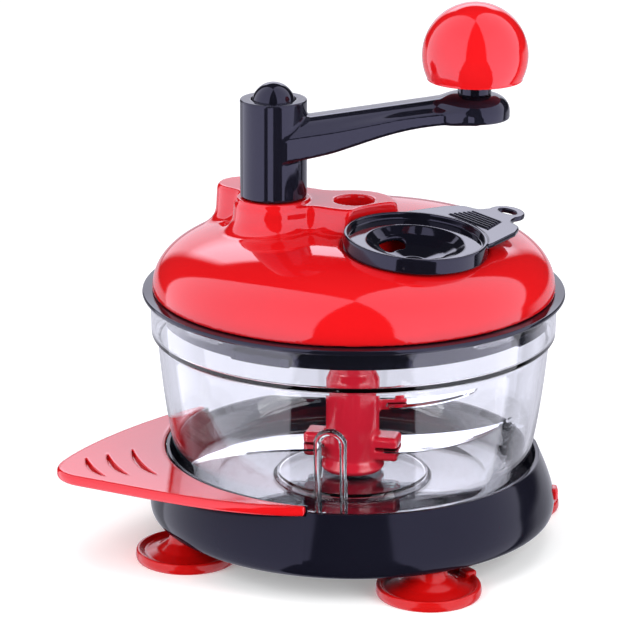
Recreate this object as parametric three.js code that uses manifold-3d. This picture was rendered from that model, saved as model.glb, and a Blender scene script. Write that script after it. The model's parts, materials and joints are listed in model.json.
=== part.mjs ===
// Hand-crank food processor: a suction base with a side handle, a clear bowl with a blade column,
// and a domed lid with a geared crank and a lift-out egg separator.
// Millimetres, +Z up. The origin is the centre of the base's flat underside, on the bowl's axis;
// +X points to the release button's side and -Y to the front.
import * as THREE from "three";
import { mergeVertices } from "three/addons/utils/BufferGeometryUtils.js";
import Module from "manifold-3d";

const wasm = await Module();
wasm.setup();

// ---------------------------------------------------------------- driving dimensions
const GAP = 0.3; // clearance between neighbouring pieces
const ROUND = 32; // sides of a large turned piece
const SMALL = 12; // sides of a small turned piece
const TINY = 8; // sides of a screw

// Base
const BASE_RADIUS = 97.3; // widest, low on the flank
const RIM_RADIUS = 89.9; // outer edge of the base's rim
const RIM_TOP = 29.4;
const DECK_TOP = 13.5; // floor that the bowl stands on
const COVER_RADIUS = 72.6;
const COVER_SCREW_CIRCLE = 52;

// Suction feet
const FOOT_CIRCLE = 85.5;
const FOOT_START = 24.4; // degrees
const FOOT_HEIGHT = 13;
const CUP_RADIUS = 24.6;
const FOOT_TAB_TURNS = [250, 160, 20, 35]; // degrees, where each cup's pull tab points

// Side handle
const HANDLE_BOTTOM = 28.2;
const HANDLE_TOP = 33.2;
const HANDLE_INNER = 89.6; // radius of the edge that follows the base's rim
const HANDLE_START = 147; // degrees
const HANDLE_END = 256.6;
const LUG_ANGLES = [163, 183]; // degrees, ears on the base that carry the handle

// Bowl
const BOWL_WALL = 2.3;
const BOWL_TOP = 107.6;
const COLLAR_RADIUS = 96.2;
const LUG_CIRCLE_START = 43; // degrees, first bowl lug
const TAB_CIRCLE_START = 63; // degrees, first lid tab
const BAYONETS = 4;
const LUG_BOTTOM = 104;
const TAB_TOP = 103.4;
const TAB_RADIUS = 93.1;

// Lid
const BEAD_RADIUS = 100;
const BEAD_BOTTOM = 108.3;
const BEAD_TOP = 110.9;
const BEAD_INNER = 91.6;
const DOME_RADIUS = 95.2;
const DOME_BOTTOM = 111.2;
const DOME_TOP = 142.5;
const DOME_WALL = 2.4;
const DOME_LEAN = 0.015; // rise of the dome's top per mm towards +X
const BOSS_TOP = 153;
const WELL_RADIUS = 9.4; // round well in the middle of the lid's boss
const WELL_DEPTH = 9;
const PLATE_TOP = 113.6;
const PLATE_THICKNESS = 2.3;
const SKIRT_RADIUS = 90.6;
const SKIRT_BOTTOM = 99;

// Crank
const POST_X = -37.9;
const POST_Y = 0.4;
const POST_RADIUS = 15.7;
const POST_BOTTOM = 155;
const POST_TOP = 201.4;
const CRANK_TURN = -6.4; // degrees, where the arm points at rest
const CRANK_LENGTH = 93.4;
const ARM_END_TOP = 206.6;
const ARM_END_BOTTOM = 195.5;
const ARM_END_RADIUS = 16.5;
const CAP_RADIUS = 10.1;
const SHAFT_RADIUS = 5;
const KNOB_RADIUS = 24.8;
const KNOB_CENTRE = 224.5;
const KNOB_BOTTOM = 213.5;

// Gears between the crank and the blade drive
const CRANK_TEETH = 36;
const PINION_TEETH = 14;
const GEAR_BOTTOM = 120;
const GEAR_WIDTH = 7;

// Blades
const COLUMN_RADIUS = 12.95;
const COLUMN_NECK = 10.7;
const COLUMN_TOP = 104;
const COLUMN_BOTTOM = 20;
const LOWER_BLADE = 32;
const UPPER_BLADE = 52;
const BLADE_THICKNESS = 1.2;

// Egg separator: the middle of its rim, and how its seat leans
const SEPARATOR_X = 28.3;
const SEPARATOR_Y = -36;
const SEPARATOR_Z = 146.2;
const SEPARATOR_LEAN_X = 3.5; // degrees about X
const SEPARATOR_LEAN_Y = 3.4; // degrees about Y
const SEPARATOR_RADIUS = 33.2;
const SEPARATOR_SKIRT = 7.2;
const SEPARATOR_HANDLE_TURN = 44.5; // degrees
const FEED_RADIUS = 25.6;

// Finishes
const RED = { color: 0xe0101c, roughness: 0.16, metalness: 0 };
const BLACK = { color: 0x14151c, roughness: 0.18, metalness: 0 };
const RUBBER = { color: 0xc80c16, roughness: 0.35, metalness: 0 };
const CLEAR = { color: 0xeef3f6, roughness: 0.05, metalness: 0, transparent: true, opacity: 0.3 };
const STEEL = { color: 0xd4d8dc, roughness: 0.15, metalness: 1 };
const WHITE_NYLON = { color: 0xe8e6df, roughness: 0.4, metalness: 0 };

// ---------------------------------------------------------------- geometry helpers
const radians = (degrees) => THREE.MathUtils.degToRad(degrees);

const polar = (radius, degrees) => [
  radius * Math.cos(radians(degrees)),
  radius * Math.sin(radians(degrees)),
];

// Makes a manifold-3d solid from a closed three.js geometry.
function solidOf(geometry) {
  const plain = geometry.index ? geometry.toNonIndexed() : geometry.clone();
  plain.deleteAttribute("normal");
  plain.deleteAttribute("uv");
  const merged = mergeVertices(plain, 1e-4);
  const index = merged.index.array;
  const corners = [];
  for (let i = 0; i < index.length; i += 3) {
    const [a, b, c] = index.slice(i, i + 3);
    if (a !== b && b !== c && c !== a) corners.push(a, b, c);
  }
  const mesh = new wasm.Mesh({
    numProp: 3,
    vertProperties: merged.attributes.position.array,
    triVerts: new Uint32Array(corners),
  });
  return new wasm.Manifold(mesh);
}

const asSolid = (shape) => (shape.isBufferGeometry ? solidOf(shape) : shape);
const join = (...shapes) => shapes.map(asSolid).reduce((a, b) => a.add(b));
const cut = (body, ...tools) => tools.map(asSolid).reduce((a, b) => a.subtract(b), asSolid(body));

// Turns a closed outline of [radius, height] points about +Z.
function turned(points, sides = ROUND) {
  const outline = points.map(([r, z]) => new THREE.Vector2(r, z));
  outline.push(outline[0].clone());
  if (THREE.ShapeUtils.isClockWise(outline)) outline.reverse();
  return new THREE.LatheGeometry(outline, sides).rotateX(Math.PI / 2);
}

// A flat shape raised from one height to another, with an optional rounded edge.
function raised(shape, bottom, top, edge = 0, curveSegments = 8) {
  const geometry = new THREE.ExtrudeGeometry(shape, {
    depth: top - bottom - 2 * edge,
    bevelEnabled: edge > 0,
    bevelThickness: edge,
    bevelSize: edge,
    bevelOffset: -edge,
    bevelSegments: 2,
    curveSegments,
  });
  return geometry.translate(0, 0, bottom + edge);
}

function rod(radius, bottom, top, x = 0, y = 0, sides = SMALL) {
  const geometry = new THREE.CylinderGeometry(radius, radius, top - bottom, sides);
  geometry.rotateX(Math.PI / 2);
  return geometry.translate(x, y, (bottom + top) / 2);
}

function block(x0, x1, y0, y1, bottom, top) {
  const geometry = new THREE.BoxGeometry(x1 - x0, y1 - y0, top - bottom);
  return geometry.translate((x0 + x1) / 2, (y0 + y1) / 2, (bottom + top) / 2);
}

// A block that covers part of a ring: a wedge of the given radii, angles and heights.
function ringSector(inner, outer, bottom, top, start, end) {
  const shape = new THREE.Shape();
  shape.absarc(0, 0, outer, radians(start), radians(end), false);
  shape.absarc(0, 0, inner, radians(end), radians(start), true);
  return raised(shape, bottom, top, 0, Math.ceil(Math.abs(end - start) / 7));
}

// ---------------------------------------------------------------- scene graph
const model = new THREE.Group();

function add(name, shape, finish, parent = model) {
  const made = asSolid(shape).getMesh();
  const geometry = new THREE.BufferGeometry();
  geometry.setAttribute("position", new THREE.BufferAttribute(made.vertProperties, 3));
  geometry.setIndex(new THREE.BufferAttribute(made.triVerts, 1));
  geometry.computeVertexNormals();
  const mesh = new THREE.Mesh(geometry, new THREE.MeshStandardMaterial(finish));
  mesh.name = name;
  parent.add(mesh);
  return mesh;
}

function groupAt(x, y, z, turn = 0, parent = model) {
  const group = new THREE.Group();
  group.position.set(x, y, z);
  group.rotation.z = radians(turn);
  parent.add(group);
  return group;
}

// A pan-head screw that points up, its head's underside at the given height.
function screw(headRadius, headHeight, shankRadius, shankLength) {
  return turned(
    [
      [0, -headHeight],
      [headRadius * 0.8, -headHeight],
      [headRadius, -headHeight * 0.5],
      [headRadius, 0],
      [shankRadius, 0],
      [shankRadius, shankLength],
      [0, shankLength],
    ],
    TINY,
  );
}

// ---------------------------------------------------------------- base
const FLANGE_TOP = 2.6;
const COVER_TOP = 2.2;
const POST_FOOT = COVER_TOP + GAP;
const BUTTON_Z = 7.4;
const DECK_BOTTOM = DECK_TOP - 2.3;

function baseShell() {
  let shell = asSolid(
    turned([
      [0, DECK_BOTTOM],
      [90.3, DECK_BOTTOM],
      [90.3, 20.5],
      [BASE_RADIUS - 3.2, 11],
      [BASE_RADIUS - 2.9, FLANGE_TOP],
      [COVER_RADIUS + GAP, FLANGE_TOP],
      [COVER_RADIUS + GAP, 0],
      [93, 0],
      [BASE_RADIUS - 0.5, 2.6],
      [BASE_RADIUS, 6.5],
      [BASE_RADIUS - 1.1, 13],
      [92.9, 23],
      [RIM_RADIUS, RIM_TOP],
      [87.6, RIM_TOP],
      [88.1, DECK_TOP],
      [0, DECK_TOP],
    ]),
  );
  // The handle's ledge, and the thin lip that stands up inside the handle
  shell = cut(shell, ringSector(89.2, 100, HANDLE_BOTTOM - GAP, 40, HANDLE_START - 1, HANDLE_END + 1));
  shell = join(shell, ringSector(87.6, 89.2, 24, 32.4, HANDLE_START, HANDLE_END));
  for (const angle of LUG_ANGLES) {
    const ear = block(91, 104, -6, 6, 20, HANDLE_BOTTOM - GAP);
    const hole = rod(1.8, 15, 35, 99, 0, TINY);
    shell = join(shell, ear.rotateZ(radians(angle)));
    shell = cut(shell, hole.rotateZ(radians(angle)));
  }
  for (let i = 0; i < 4; i++) {
    const [x, y] = polar(COVER_SCREW_CIRCLE, 90 * i);
    shell = join(shell, rod(4, POST_FOOT, DECK_BOTTOM + 1, x, y, SMALL));
    shell = cut(shell, rod(1.8, 0, 10, x, y, TINY));
    const [fx, fy] = polar(FOOT_CIRCLE, FOOT_START + 90 * i);
    shell = cut(shell, rod(4.2, -1, 5, fx, fy, SMALL));
  }
  const springWall = block(75.4, 78, -8, 8, FLANGE_TOP - 1, DECK_BOTTOM + 1);
  const buttonHole = block(92, 99, -4.4, 4.4, BUTTON_Z - 3.4, BUTTON_Z + 3.4);
  return cut(join(shell, springWall), buttonHole);
}

const COVER_SINK = 1.5; // depth of the hollow that each cover screw's head sits in

function baseCover() {
  let cover = asSolid(rod(COVER_RADIUS, 0, COVER_TOP, 0, 0, ROUND));
  for (let i = 0; i < 4; i++) {
    const [x, y] = polar(COVER_SCREW_CIRCLE, 90 * i);
    cover = cut(cover, rod(1.8, -1, 5, x, y, TINY), rod(3.6, -1, COVER_SINK, x, y, TINY));
  }
  return cover;
}

function releaseButton() {
  const nose = new THREE.Shape();
  nose.moveTo(88.6, -4);
  nose.lineTo(97.2, -4);
  nose.quadraticCurveTo(99, -3.6, 99.2, 0);
  nose.quadraticCurveTo(99, 3.6, 97.2, 4);
  nose.lineTo(88.6, 4);
  const flange = block(89.8, 92.6, -8, 8, 3, DECK_BOTTOM - GAP);
  const peg = new THREE.CylinderGeometry(1.5, 1.5, 8, TINY);
  peg.rotateZ(Math.PI / 2);
  peg.translate(85, 0, BUTTON_Z);
  return join(raised(nose, BUTTON_Z - 3, BUTTON_Z + 3, 0.9, 4), flange, peg);
}

// A compression spring around the button's peg.
class SpringCurve extends THREE.Curve {
  constructor(radius, turns, start, length, height) {
    super();
    Object.assign(this, { radius, turns, start, length, height });
  }
  getPoint(t, target = new THREE.Vector3()) {
    const angle = 2 * Math.PI * this.turns * t;
    return target.set(
      this.start + this.length * t,
      this.radius * Math.cos(angle),
      this.height + this.radius * Math.sin(angle),
    );
  }
}

function wire(curve, radius, steps, sides) {
  const section = new THREE.Shape();
  section.absarc(0, 0, radius, 0, 2 * Math.PI, false);
  return new THREE.ExtrudeGeometry(section, {
    steps,
    extrudePath: curve,
    curveSegments: sides,
    bevelEnabled: false,
  });
}

function suctionFoot(tabTurn) {
  const cup = turned(
    [
      [0, -9.6],
      [CUP_RADIUS - 2.6, -FOOT_HEIGHT],
      [CUP_RADIUS - 0.6, -FOOT_HEIGHT],
      [CUP_RADIUS, -FOOT_HEIGHT + 0.8],
      [CUP_RADIUS - 0.6, -8.2],
      [CUP_RADIUS - 2.6, -8],
      [20.4, -9.7],
      [14, -7.6],
      [9, -4.2],
      [8, -GAP],
      [3.8, -GAP],
      [3.8, FLANGE_TOP + GAP],
      [5.2, FLANGE_TOP + GAP],
      [3, 6.4],
      [0, 6.4],
    ],
    18,
  );
  const tab = block(19.5, CUP_RADIUS + 0.8, -3.2, 3.2, -11.6, -6.6);
  return join(cup, tab.rotateZ(radians(tabTurn)));
}

function sideHandle() {
  const outline = new THREE.Shape();
  const frontOuter = polar(HANDLE_INNER + 3, HANDLE_END - 0.3);
  const backOuter = polar(HANDLE_INNER + 3, HANDLE_START + 0.3);
  outline.moveTo(...frontOuter);
  outline.bezierCurveTo(-58, -91, -88, -72.5, -128, -53.5);
  outline.bezierCurveTo(-139, -48, -141, -38, -136.5, -28);
  outline.bezierCurveTo(-128, -6, -104, 28, ...backOuter);
  outline.absarc(0, 0, HANDLE_INNER, radians(HANDLE_START + 0.3), radians(HANDLE_END - 0.3), false);
  let handle = asSolid(raised(outline, HANDLE_BOTTOM, HANDLE_TOP, 1.1, 10));
  const grooves = [
    [-126, -26.4, 11.2, 25.5],
    [-116.5, -19.8, 12.6, 30.5],
    [-105, -13.7, 14.2, 36],
  ];
  for (const [x, y, width, length] of grooves) {
    const groove = new THREE.Shape();
    groove.moveTo(0, 0);
    groove.quadraticCurveTo(width * 0.12 + 2.4, -length * 0.58, width, -length);
    groove.quadraticCurveTo(width * 0.12 - 1.6, -length * 0.66, 0, 0);
    handle = cut(handle, raised(groove, HANDLE_TOP - 1.2, HANDLE_TOP + 1, 0, 5).translate(x, y, 0));
  }
  for (const angle of LUG_ANGLES) {
    handle = cut(handle, rod(1.8, 25, HANDLE_TOP - 1.4, 99, 0, TINY).rotateZ(radians(angle)));
  }
  return handle;
}

function addBase() {
  add("base_shell", baseShell(), BLACK);
  add("base_bottom_cover", baseCover(), BLACK);
  for (let i = 0; i < 4; i++) {
    const [x, y] = polar(COVER_SCREW_CIRCLE, 90 * i);
    const place = groupAt(x, y, COVER_SINK - 0.1);
    add("cover_screw_" + (i + 1), screw(3, 1.1, 1.5, 7), STEEL, place);
  }
  for (let i = 0; i < 4; i++) {
    const [x, y] = polar(FOOT_CIRCLE, FOOT_START + 90 * i);
    add("suction_foot_" + (i + 1), suctionFoot(FOOT_TAB_TURNS[i]), RUBBER, groupAt(x, y, 0));
  }
  add("side_handle", sideHandle(), RED);
  LUG_ANGLES.forEach((angle, i) => {
    const [x, y] = polar(99, angle);
    add("handle_screw_" + (i + 1), screw(3, 2, 1.5, 11), STEEL, groupAt(x, y, 20 - GAP));
  });
  add("release_button", releaseButton(), RED);
  const coil = new SpringCurve(2.9, 4, 78.9, 6.8, BUTTON_Z);
  add("release_spring", wire(coil, 0.5, 32, 2), STEEL);
}

// ---------------------------------------------------------------- bowl
const FLOOR = 16.2;
const HUB_FLOOR = 19;

function bowl() {
  let body = asSolid(
    turned([
      [0, 16.6],
      [35, 16.6],
      [37.4, 13.8],
      [66, 13.8],
      [76, 15.8],
      [81.6, 20.4],
      [84.6, 27.5],
      [88.2, 46],
      [90.6, 62],
      [93.2, 87.8],
      [95.7, 89.8],
      [COLLAR_RADIUS, BOWL_TOP],
      [COLLAR_RADIUS - BOWL_WALL, BOWL_TOP],
      [COLLAR_RADIUS - BOWL_WALL, 91.5],
      [90.9, 88.8],
      [88.3, 62],
      [85.9, 46],
      [82.3, 28],
      [79.6, 21.8],
      [74.9, 18],
      [65.6, FLOOR],
      [38, FLOOR],
      [35.8, HUB_FLOOR],
      [0, HUB_FLOOR],
    ]),
  );
  body = cut(join(body, rod(6.4, 13.9, 17.5)), rod(3.3, 14.7, 25));
  for (let i = 0; i < BAYONETS; i++) {
    const middle = LUG_CIRCLE_START + (360 / BAYONETS) * i;
    body = join(body, ringSector(91.2, 94.8, LUG_BOTTOM, LUG_BOTTOM + 2.4, middle - 7, middle + 7));
  }
  return join(body, fluteRib());
}

// The upside-down U that stands out on the front of the bowl's wall.
function fluteRib() {
  const rib = new THREE.Shape();
  rib.absarc(0, 63.5, 6.9, 0, Math.PI, false);
  rib.lineTo(-6.9, 24);
  rib.lineTo(-4.7, 24);
  rib.absarc(0, 63.5, 4.7, Math.PI, 0, true);
  rib.lineTo(4.7, 24);
  rib.lineTo(6.9, 24);
  const bar = asSolid(raised(rib, 80, 95, 0, 6).rotateX(Math.PI / 2).rotateZ(radians(-6.5)));
  const sleeve = turned([
    [82.6, 24],
    [85.2, 24],
    [87.2, 34],
    [89.4, 46],
    [91.8, 62],
    [93, 73],
    [90.2, 73],
    [87, 46],
  ]);
  return bar.intersect(asSolid(sleeve));
}

function addBowl() {
  add("bowl", bowl(), CLEAR);
  add("bowl_pin", rod(3, 15, 85, 0, 0, SMALL), STEEL);
}

// ---------------------------------------------------------------- blades
const CARRIER_TURN = -12; // degrees, where the right-hand blade leaves the column
const UPPER_TURN = 6;

function bladeColumn() {
  let column = asSolid(
    turned(
      [
        [3.5, COLUMN_BOTTOM],
        [15, COLUMN_BOTTOM],
        [16, 22],
        [COLUMN_RADIUS, 25],
        [COLUMN_RADIUS, 66],
        [COLUMN_NECK, 70],
        [COLUMN_NECK, COLUMN_TOP],
        [8, COLUMN_TOP],
        [8, 92],
        [3.5, 88],
      ],
      20,
    ),
  );
  for (const turn of [90, 270]) {
    column = join(column, block(5.4, 8.6, -1.2, 1.2, 91, COLUMN_TOP).rotateZ(radians(turn)));
  }
  for (const turn of [CARRIER_TURN, CARRIER_TURN + 180]) {
    const arm = block(10, 23, -7, 7, LOWER_BLADE - 6, LOWER_BLADE + 6);
    const slot = block(12.4, 30, -30, 30, LOWER_BLADE - 0.9, LOWER_BLADE + 0.9);
    const hole = rod(2, LOWER_BLADE - 10, LOWER_BLADE + 4.6, 19, 0, TINY);
    column = join(column, arm.rotateZ(radians(turn)));
    column = cut(column, slot.rotateZ(radians(turn)), hole.rotateZ(radians(turn)));
  }
  const bar = block(10, 26, -2.5, 2.5, UPPER_BLADE - 2.5, UPPER_BLADE + 3).rotateZ(radians(UPPER_TURN));
  const nub = rod(2.2, UPPER_BLADE, UPPER_BLADE + 9, 22.5, 0, TINY).rotateZ(radians(UPPER_TURN));
  const bladeSlot = block(16, 30, -9, 9, UPPER_BLADE - 0.9, UPPER_BLADE + 0.9).rotateZ(radians(UPPER_TURN));
  return cut(join(column, bar, nub), bladeSlot);
}

// A crescent that leaves the column at its root and sweeps back to a point.
function crescent(reach, width, height, root) {
  const blade = new THREE.Shape();
  blade.moveTo(root, -width * 0.52);
  blade.bezierCurveTo(reach * 0.45, -width * 0.72, reach * 0.84, width * 0.1, reach * 0.985, width * 1.3);
  blade.bezierCurveTo(reach * 0.8, width * 0.72, reach * 0.45, width * 0.42, root, width * 0.46);
  return raised(blade, height - BLADE_THICKNESS / 2, height + BLADE_THICKNESS / 2, 0, 8);
}

function addBlades() {
  add("blade_column", bladeColumn(), RED);
  ["right", "left"].forEach((side, i) => {
    const place = groupAt(0, 0, 0, 180 * i);
    const blade = crescent(76, 23, LOWER_BLADE, 14.8);
    const hole = rod(2, LOWER_BLADE - 5, LOWER_BLADE + 5, 19, 0, TINY).rotateZ(radians(CARRIER_TURN));
    add("blade_lower_" + side, cut(blade, hole), STEEL, place);
    const pin = turned(
      [
        [0, LOWER_BLADE - 7.2],
        [3, LOWER_BLADE - 7.2],
        [3, LOWER_BLADE - 6.3],
        [1.7, LOWER_BLADE - 6.3],
        [1.7, LOWER_BLADE + 4.2],
        [0, LOWER_BLADE + 4.2],
      ],
      TINY,
    );
    const [x, y] = polar(19, CARRIER_TURN);
    add("blade_rivet_" + side, pin.translate(x, y, 0), STEEL, place);
  });
  const upper = crescent(64, 13, UPPER_BLADE, 16.6);
  add("blade_upper", upper.rotateZ(radians(UPPER_TURN)), STEEL);
}

// ---------------------------------------------------------------- lid
function domeOutline(inset) {
  const side = new THREE.CubicBezierCurve(
    new THREE.Vector2(DOME_RADIUS - inset, DOME_BOTTOM),
    new THREE.Vector2(DOME_RADIUS - inset, DOME_BOTTOM + 33 - inset * 0.4),
    new THREE.Vector2(32, DOME_TOP - inset),
    new THREE.Vector2(0, DOME_TOP - inset),
  );
  return side.getPoints(8).map((point) => [point.x, point.y]);
}

// The dome's top leans a little, so heights grow towards +X in step with the height above the rim.
function leaned(geometry) {
  const position = geometry.attributes.position;
  for (let i = 0; i < position.count; i++) {
    const rise = (position.getZ(i) - DOME_BOTTOM) / (DOME_TOP - DOME_BOTTOM);
    position.setZ(i, position.getZ(i) + DOME_LEAN * position.getX(i) * rise);
  }
  return geometry;
}

const LOBES = [
  { x: POST_X, y: POST_Y, radius: 18.5 },
  { x: -53, y: 31, radius: 11.5 },
  { x: 0, y: 0, radius: 20 },
];
const WEBS = [
  { from: 0, to: 2, half: 12.5 },
  { from: 1, to: 2, half: 10.5 },
  { from: 0, to: 1, half: 9 },
];

// The three-lobed boss on top of the dome.
function lidBoss(bottom) {
  const parts = LOBES.map(({ x, y, radius }) =>
    turned(
      [
        [0, bottom],
        [radius + 1.5, bottom],
        [radius, BOSS_TOP - 1.2],
        [radius - 1.2, BOSS_TOP],
        [0, BOSS_TOP],
      ],
      20,
    ).translate(x, y, 0),
  );
  for (const { from, to, half } of WEBS) {
    const dx = LOBES[to].x - LOBES[from].x;
    const dy = LOBES[to].y - LOBES[from].y;
    const web = block(0, Math.hypot(dx, dy), -half, half, bottom, BOSS_TOP);
    web.rotateZ(Math.atan2(dy, dx));
    parts.push(web.translate(LOBES[from].x, LOBES[from].y, 0));
  }
  return join(...parts);
}

// Places a shape made around the separator's own middle into the lid.
function atSeparator(geometry) {
  const seat = new THREE.Object3D();
  seat.position.set(SEPARATOR_X, SEPARATOR_Y, SEPARATOR_Z);
  seat.rotation.set(radians(SEPARATOR_LEAN_X), radians(SEPARATOR_LEAN_Y), 0);
  seat.updateMatrix();
  return geometry.applyMatrix4(seat.matrix);
}

const SEAT_DEPTH = SEPARATOR_SKIRT + 0.4;
const BUSH_OUTER = 7.5;
const HUB_BOTTOM = 128.2;
const SCREW_POSTS = [
  [70, 30],
  [-20, 66],
  [-44, -58],
];

function lidShell() {
  const outer = asSolid(leaned(turned([...domeOutline(0), [0, DOME_BOTTOM]])));
  const inner = asSolid(leaned(turned([...domeOutline(DOME_WALL), [0, DOME_BOTTOM]])));
  const below = rod(DOME_RADIUS + 5, DOME_BOTTOM - 20, DOME_BOTTOM, 0, 0, ROUND);
  let shell = outer.subtract(inner);
  shell = join(shell, lidBoss(139));
  const seat = asSolid(atSeparator(rod(SEPARATOR_RADIUS + 3.2, -SEAT_DEPTH - 2.4, 2, 0, 0, 28)));
  shell = join(shell, seat.intersect(outer));
  shell = join(shell, rod(FEED_RADIUS + 2, PLATE_TOP + GAP, 138, SEPARATOR_X, SEPARATOR_Y, 24));
  shell = join(shell, rod(11, HUB_BOTTOM, 142, POST_X, POST_Y), rod(9, HUB_BOTTOM, 142));
  for (const [x, y] of SCREW_POSTS) {
    const post = asSolid(rod(4.2, PLATE_TOP + GAP, 145, x, y));
    shell = join(shell, post.intersect(outer));
    shell = cut(shell, rod(1.8, 100, 128, x, y, TINY));
  }
  shell = cut(shell, rod(BUSH_OUTER + GAP, 110, 160, POST_X, POST_Y));
  shell = cut(shell, rod(WELL_RADIUS, BOSS_TOP - WELL_DEPTH, 160, 0, 0, 20), rod(4.3, 110, 138));
  shell = cut(shell, atSeparator(rod(SEPARATOR_RADIUS + 1.2, -SEAT_DEPTH, 12, 0, 0, 28)));
  shell = cut(shell, rod(FEED_RADIUS, 105, 160, SEPARATOR_X, SEPARATOR_Y, 24));
  return cut(shell, below);
}

function lidPlate() {
  const bottom = PLATE_TOP - PLATE_THICKNESS;
  let plate = asSolid(
    turned([
      [0, bottom],
      [SKIRT_RADIUS - 2.2, bottom],
      [SKIRT_RADIUS - 2.2, SKIRT_BOTTOM],
      [SKIRT_RADIUS, SKIRT_BOTTOM],
      [SKIRT_RADIUS, bottom],
      [91.7, bottom],
      [91.7, PLATE_TOP],
      [0, PLATE_TOP],
    ]),
  );
  for (let i = 0; i < BAYONETS; i++) {
    const middle = TAB_CIRCLE_START + (360 / BAYONETS) * i;
    plate = join(
      plate,
      ringSector(SKIRT_RADIUS - 1, TAB_RADIUS, SKIRT_BOTTOM, TAB_TOP, middle - 9, middle + 9),
    );
  }
  plate = cut(plate, rod(9.3, 100, 130));
  plate = cut(plate, rod(FEED_RADIUS, 100, 130, SEPARATOR_X, SEPARATOR_Y, 24));
  for (const [x, y] of SCREW_POSTS) plate = cut(plate, rod(1.8, 100, 130, x, y, TINY));
  return plate;
}

function sealRing() {
  return turned([
    [BEAD_INNER, BEAD_BOTTOM],
    [BEAD_RADIUS - 1, BEAD_BOTTOM],
    [BEAD_RADIUS, BEAD_BOTTOM + 0.9],
    [BEAD_RADIUS, BEAD_TOP - 0.9],
    [BEAD_RADIUS - 1, BEAD_TOP],
    [BEAD_INNER, BEAD_TOP],
  ]);
}

function addLid() {
  add("lid_seal_ring", sealRing(), BLACK);
  add("lid_shell", lidShell(), RED);
  add("lid_plate", lidPlate(), BLACK);
  SCREW_POSTS.forEach(([x, y], i) => {
    const place = groupAt(x, y, PLATE_TOP - PLATE_THICKNESS - GAP);
    add("plate_screw_" + (i + 1), screw(3.2, 2, 1.5, 13), STEEL, place);
  });
  const shaftBush = turned(
    [
      [SHAFT_RADIUS + 0.2, 127.7],
      [BUSH_OUTER, 127.7],
      [BUSH_OUTER, BOSS_TOP + GAP],
      [10, BOSS_TOP + GAP],
      [10, BOSS_TOP + 1.5],
      [SHAFT_RADIUS + 0.2, BOSS_TOP + 1.5],
    ],
    SMALL,
  );
  add("shaft_bush", shaftBush.translate(POST_X, POST_Y, 0), WHITE_NYLON);
  const pinionBush = turned(
    [
      [6.3, 110.6],
      [9, 110.6],
      [9, PLATE_TOP + GAP],
      [11, PLATE_TOP + GAP],
      [11, PLATE_TOP + 1.6],
      [6.3, PLATE_TOP + 1.6],
    ],
    SMALL,
  );
  add("pinion_bush", pinionBush, WHITE_NYLON);
}

// ---------------------------------------------------------------- gear train and crank
const GEAR_MODULE = (2 * Math.hypot(POST_X, POST_Y)) / (CRANK_TEETH + PINION_TEETH);

// A straight-sided gear outline, the middle of one tooth at the given angle.
function gearShape(teeth, toothAngle, boreRadius, boreSides) {
  const pitch = (GEAR_MODULE * teeth) / 2;
  const tip = pitch + GEAR_MODULE * 0.82;
  const root = pitch - GEAR_MODULE * 1.15;
  const step = (2 * Math.PI) / teeth;
  const corners = [];
  for (let i = 0; i < teeth; i++) {
    const middle = toothAngle + step * i;
    for (const [radius, part] of [
      [root, -0.28],
      [tip, -0.1],
      [tip, 0.1],
      [root, 0.28],
    ]) {
      const angle = middle + step * part;
      corners.push(new THREE.Vector2(radius * Math.cos(angle), radius * Math.sin(angle)));
    }
  }
  const shape = new THREE.Shape(corners);
  if (boreRadius) {
    const bore = new THREE.Path();
    for (let i = 0; i <= boreSides; i++) {
      const angle = (-2 * Math.PI * i) / boreSides;
      const point = [boreRadius * Math.cos(angle), boreRadius * Math.sin(angle)];
      if (i === 0) bore.moveTo(...point);
      else bore.lineTo(...point);
    }
    shape.holes.push(bore);
  }
  return shape;
}

const MESH_ANGLE = Math.atan2(-POST_Y, -POST_X); // from the crank's axis to the pinion's

function pinion() {
  const toothAngle = MESH_ANGLE + Math.PI + Math.PI / PINION_TEETH;
  const teeth = raised(gearShape(PINION_TEETH, toothAngle, 0, 0), GEAR_BOTTOM - 0.5, GEAR_BOTTOM + 7.5);
  const shaft = turned(
    [
      [0, 94.6],
      [4.4, 94.6],
      [4.4, 103.6],
      [6, 104.8],
      [6, 121],
      [4, 121],
      [4, 137.4],
      [0, 137.4],
    ],
    SMALL,
  );
  const dog = block(-7.3, 7.3, -2, 2, 94.6, 103.4);
  return join(teeth, shaft, dog);
}

function driveGear(turnBack) {
  const outline = gearShape(CRANK_TEETH, MESH_ANGLE - turnBack, SHAFT_RADIUS + GAP, 6);
  return raised(outline, GEAR_BOTTOM, GEAR_BOTTOM + GEAR_WIDTH);
}

function hexagon(radius, bottom, top) {
  return rod(radius, bottom, top, 0, 0, 6).rotateZ(Math.PI / 6);
}

function crankShaft() {
  let shaft = asSolid(rod(SHAFT_RADIUS, GEAR_BOTTOM + GEAR_WIDTH + 0.4, POST_BOTTOM - GAP));
  shaft = join(shaft, hexagon(SHAFT_RADIUS, GEAR_BOTTOM - 0.1, 130), hexagon(SHAFT_RADIUS, 154, 185.6));
  return cut(shaft, rod(2.3, 110, 131, 0, 0, TINY), rod(2.3, 174, 190, 0, 0, TINY));
}

// The arm's side view: a straight top that levels out at the knob, and a hollow underside.
function armProfile() {
  const side = new THREE.Shape();
  const end = CRANK_LENGTH + 2;
  side.moveTo(2, 191.6);
  side.lineTo(2, 173.4);
  side.quadraticCurveTo(16, 175.2, 30, 179.6);
  side.bezierCurveTo(50, 186.6, 64, 194.6, end, ARM_END_BOTTOM);
  side.lineTo(end, ARM_END_TOP);
  side.bezierCurveTo(84, 206.4, 80, 205.4, 72, 203.9);
  return side;
}

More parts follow.
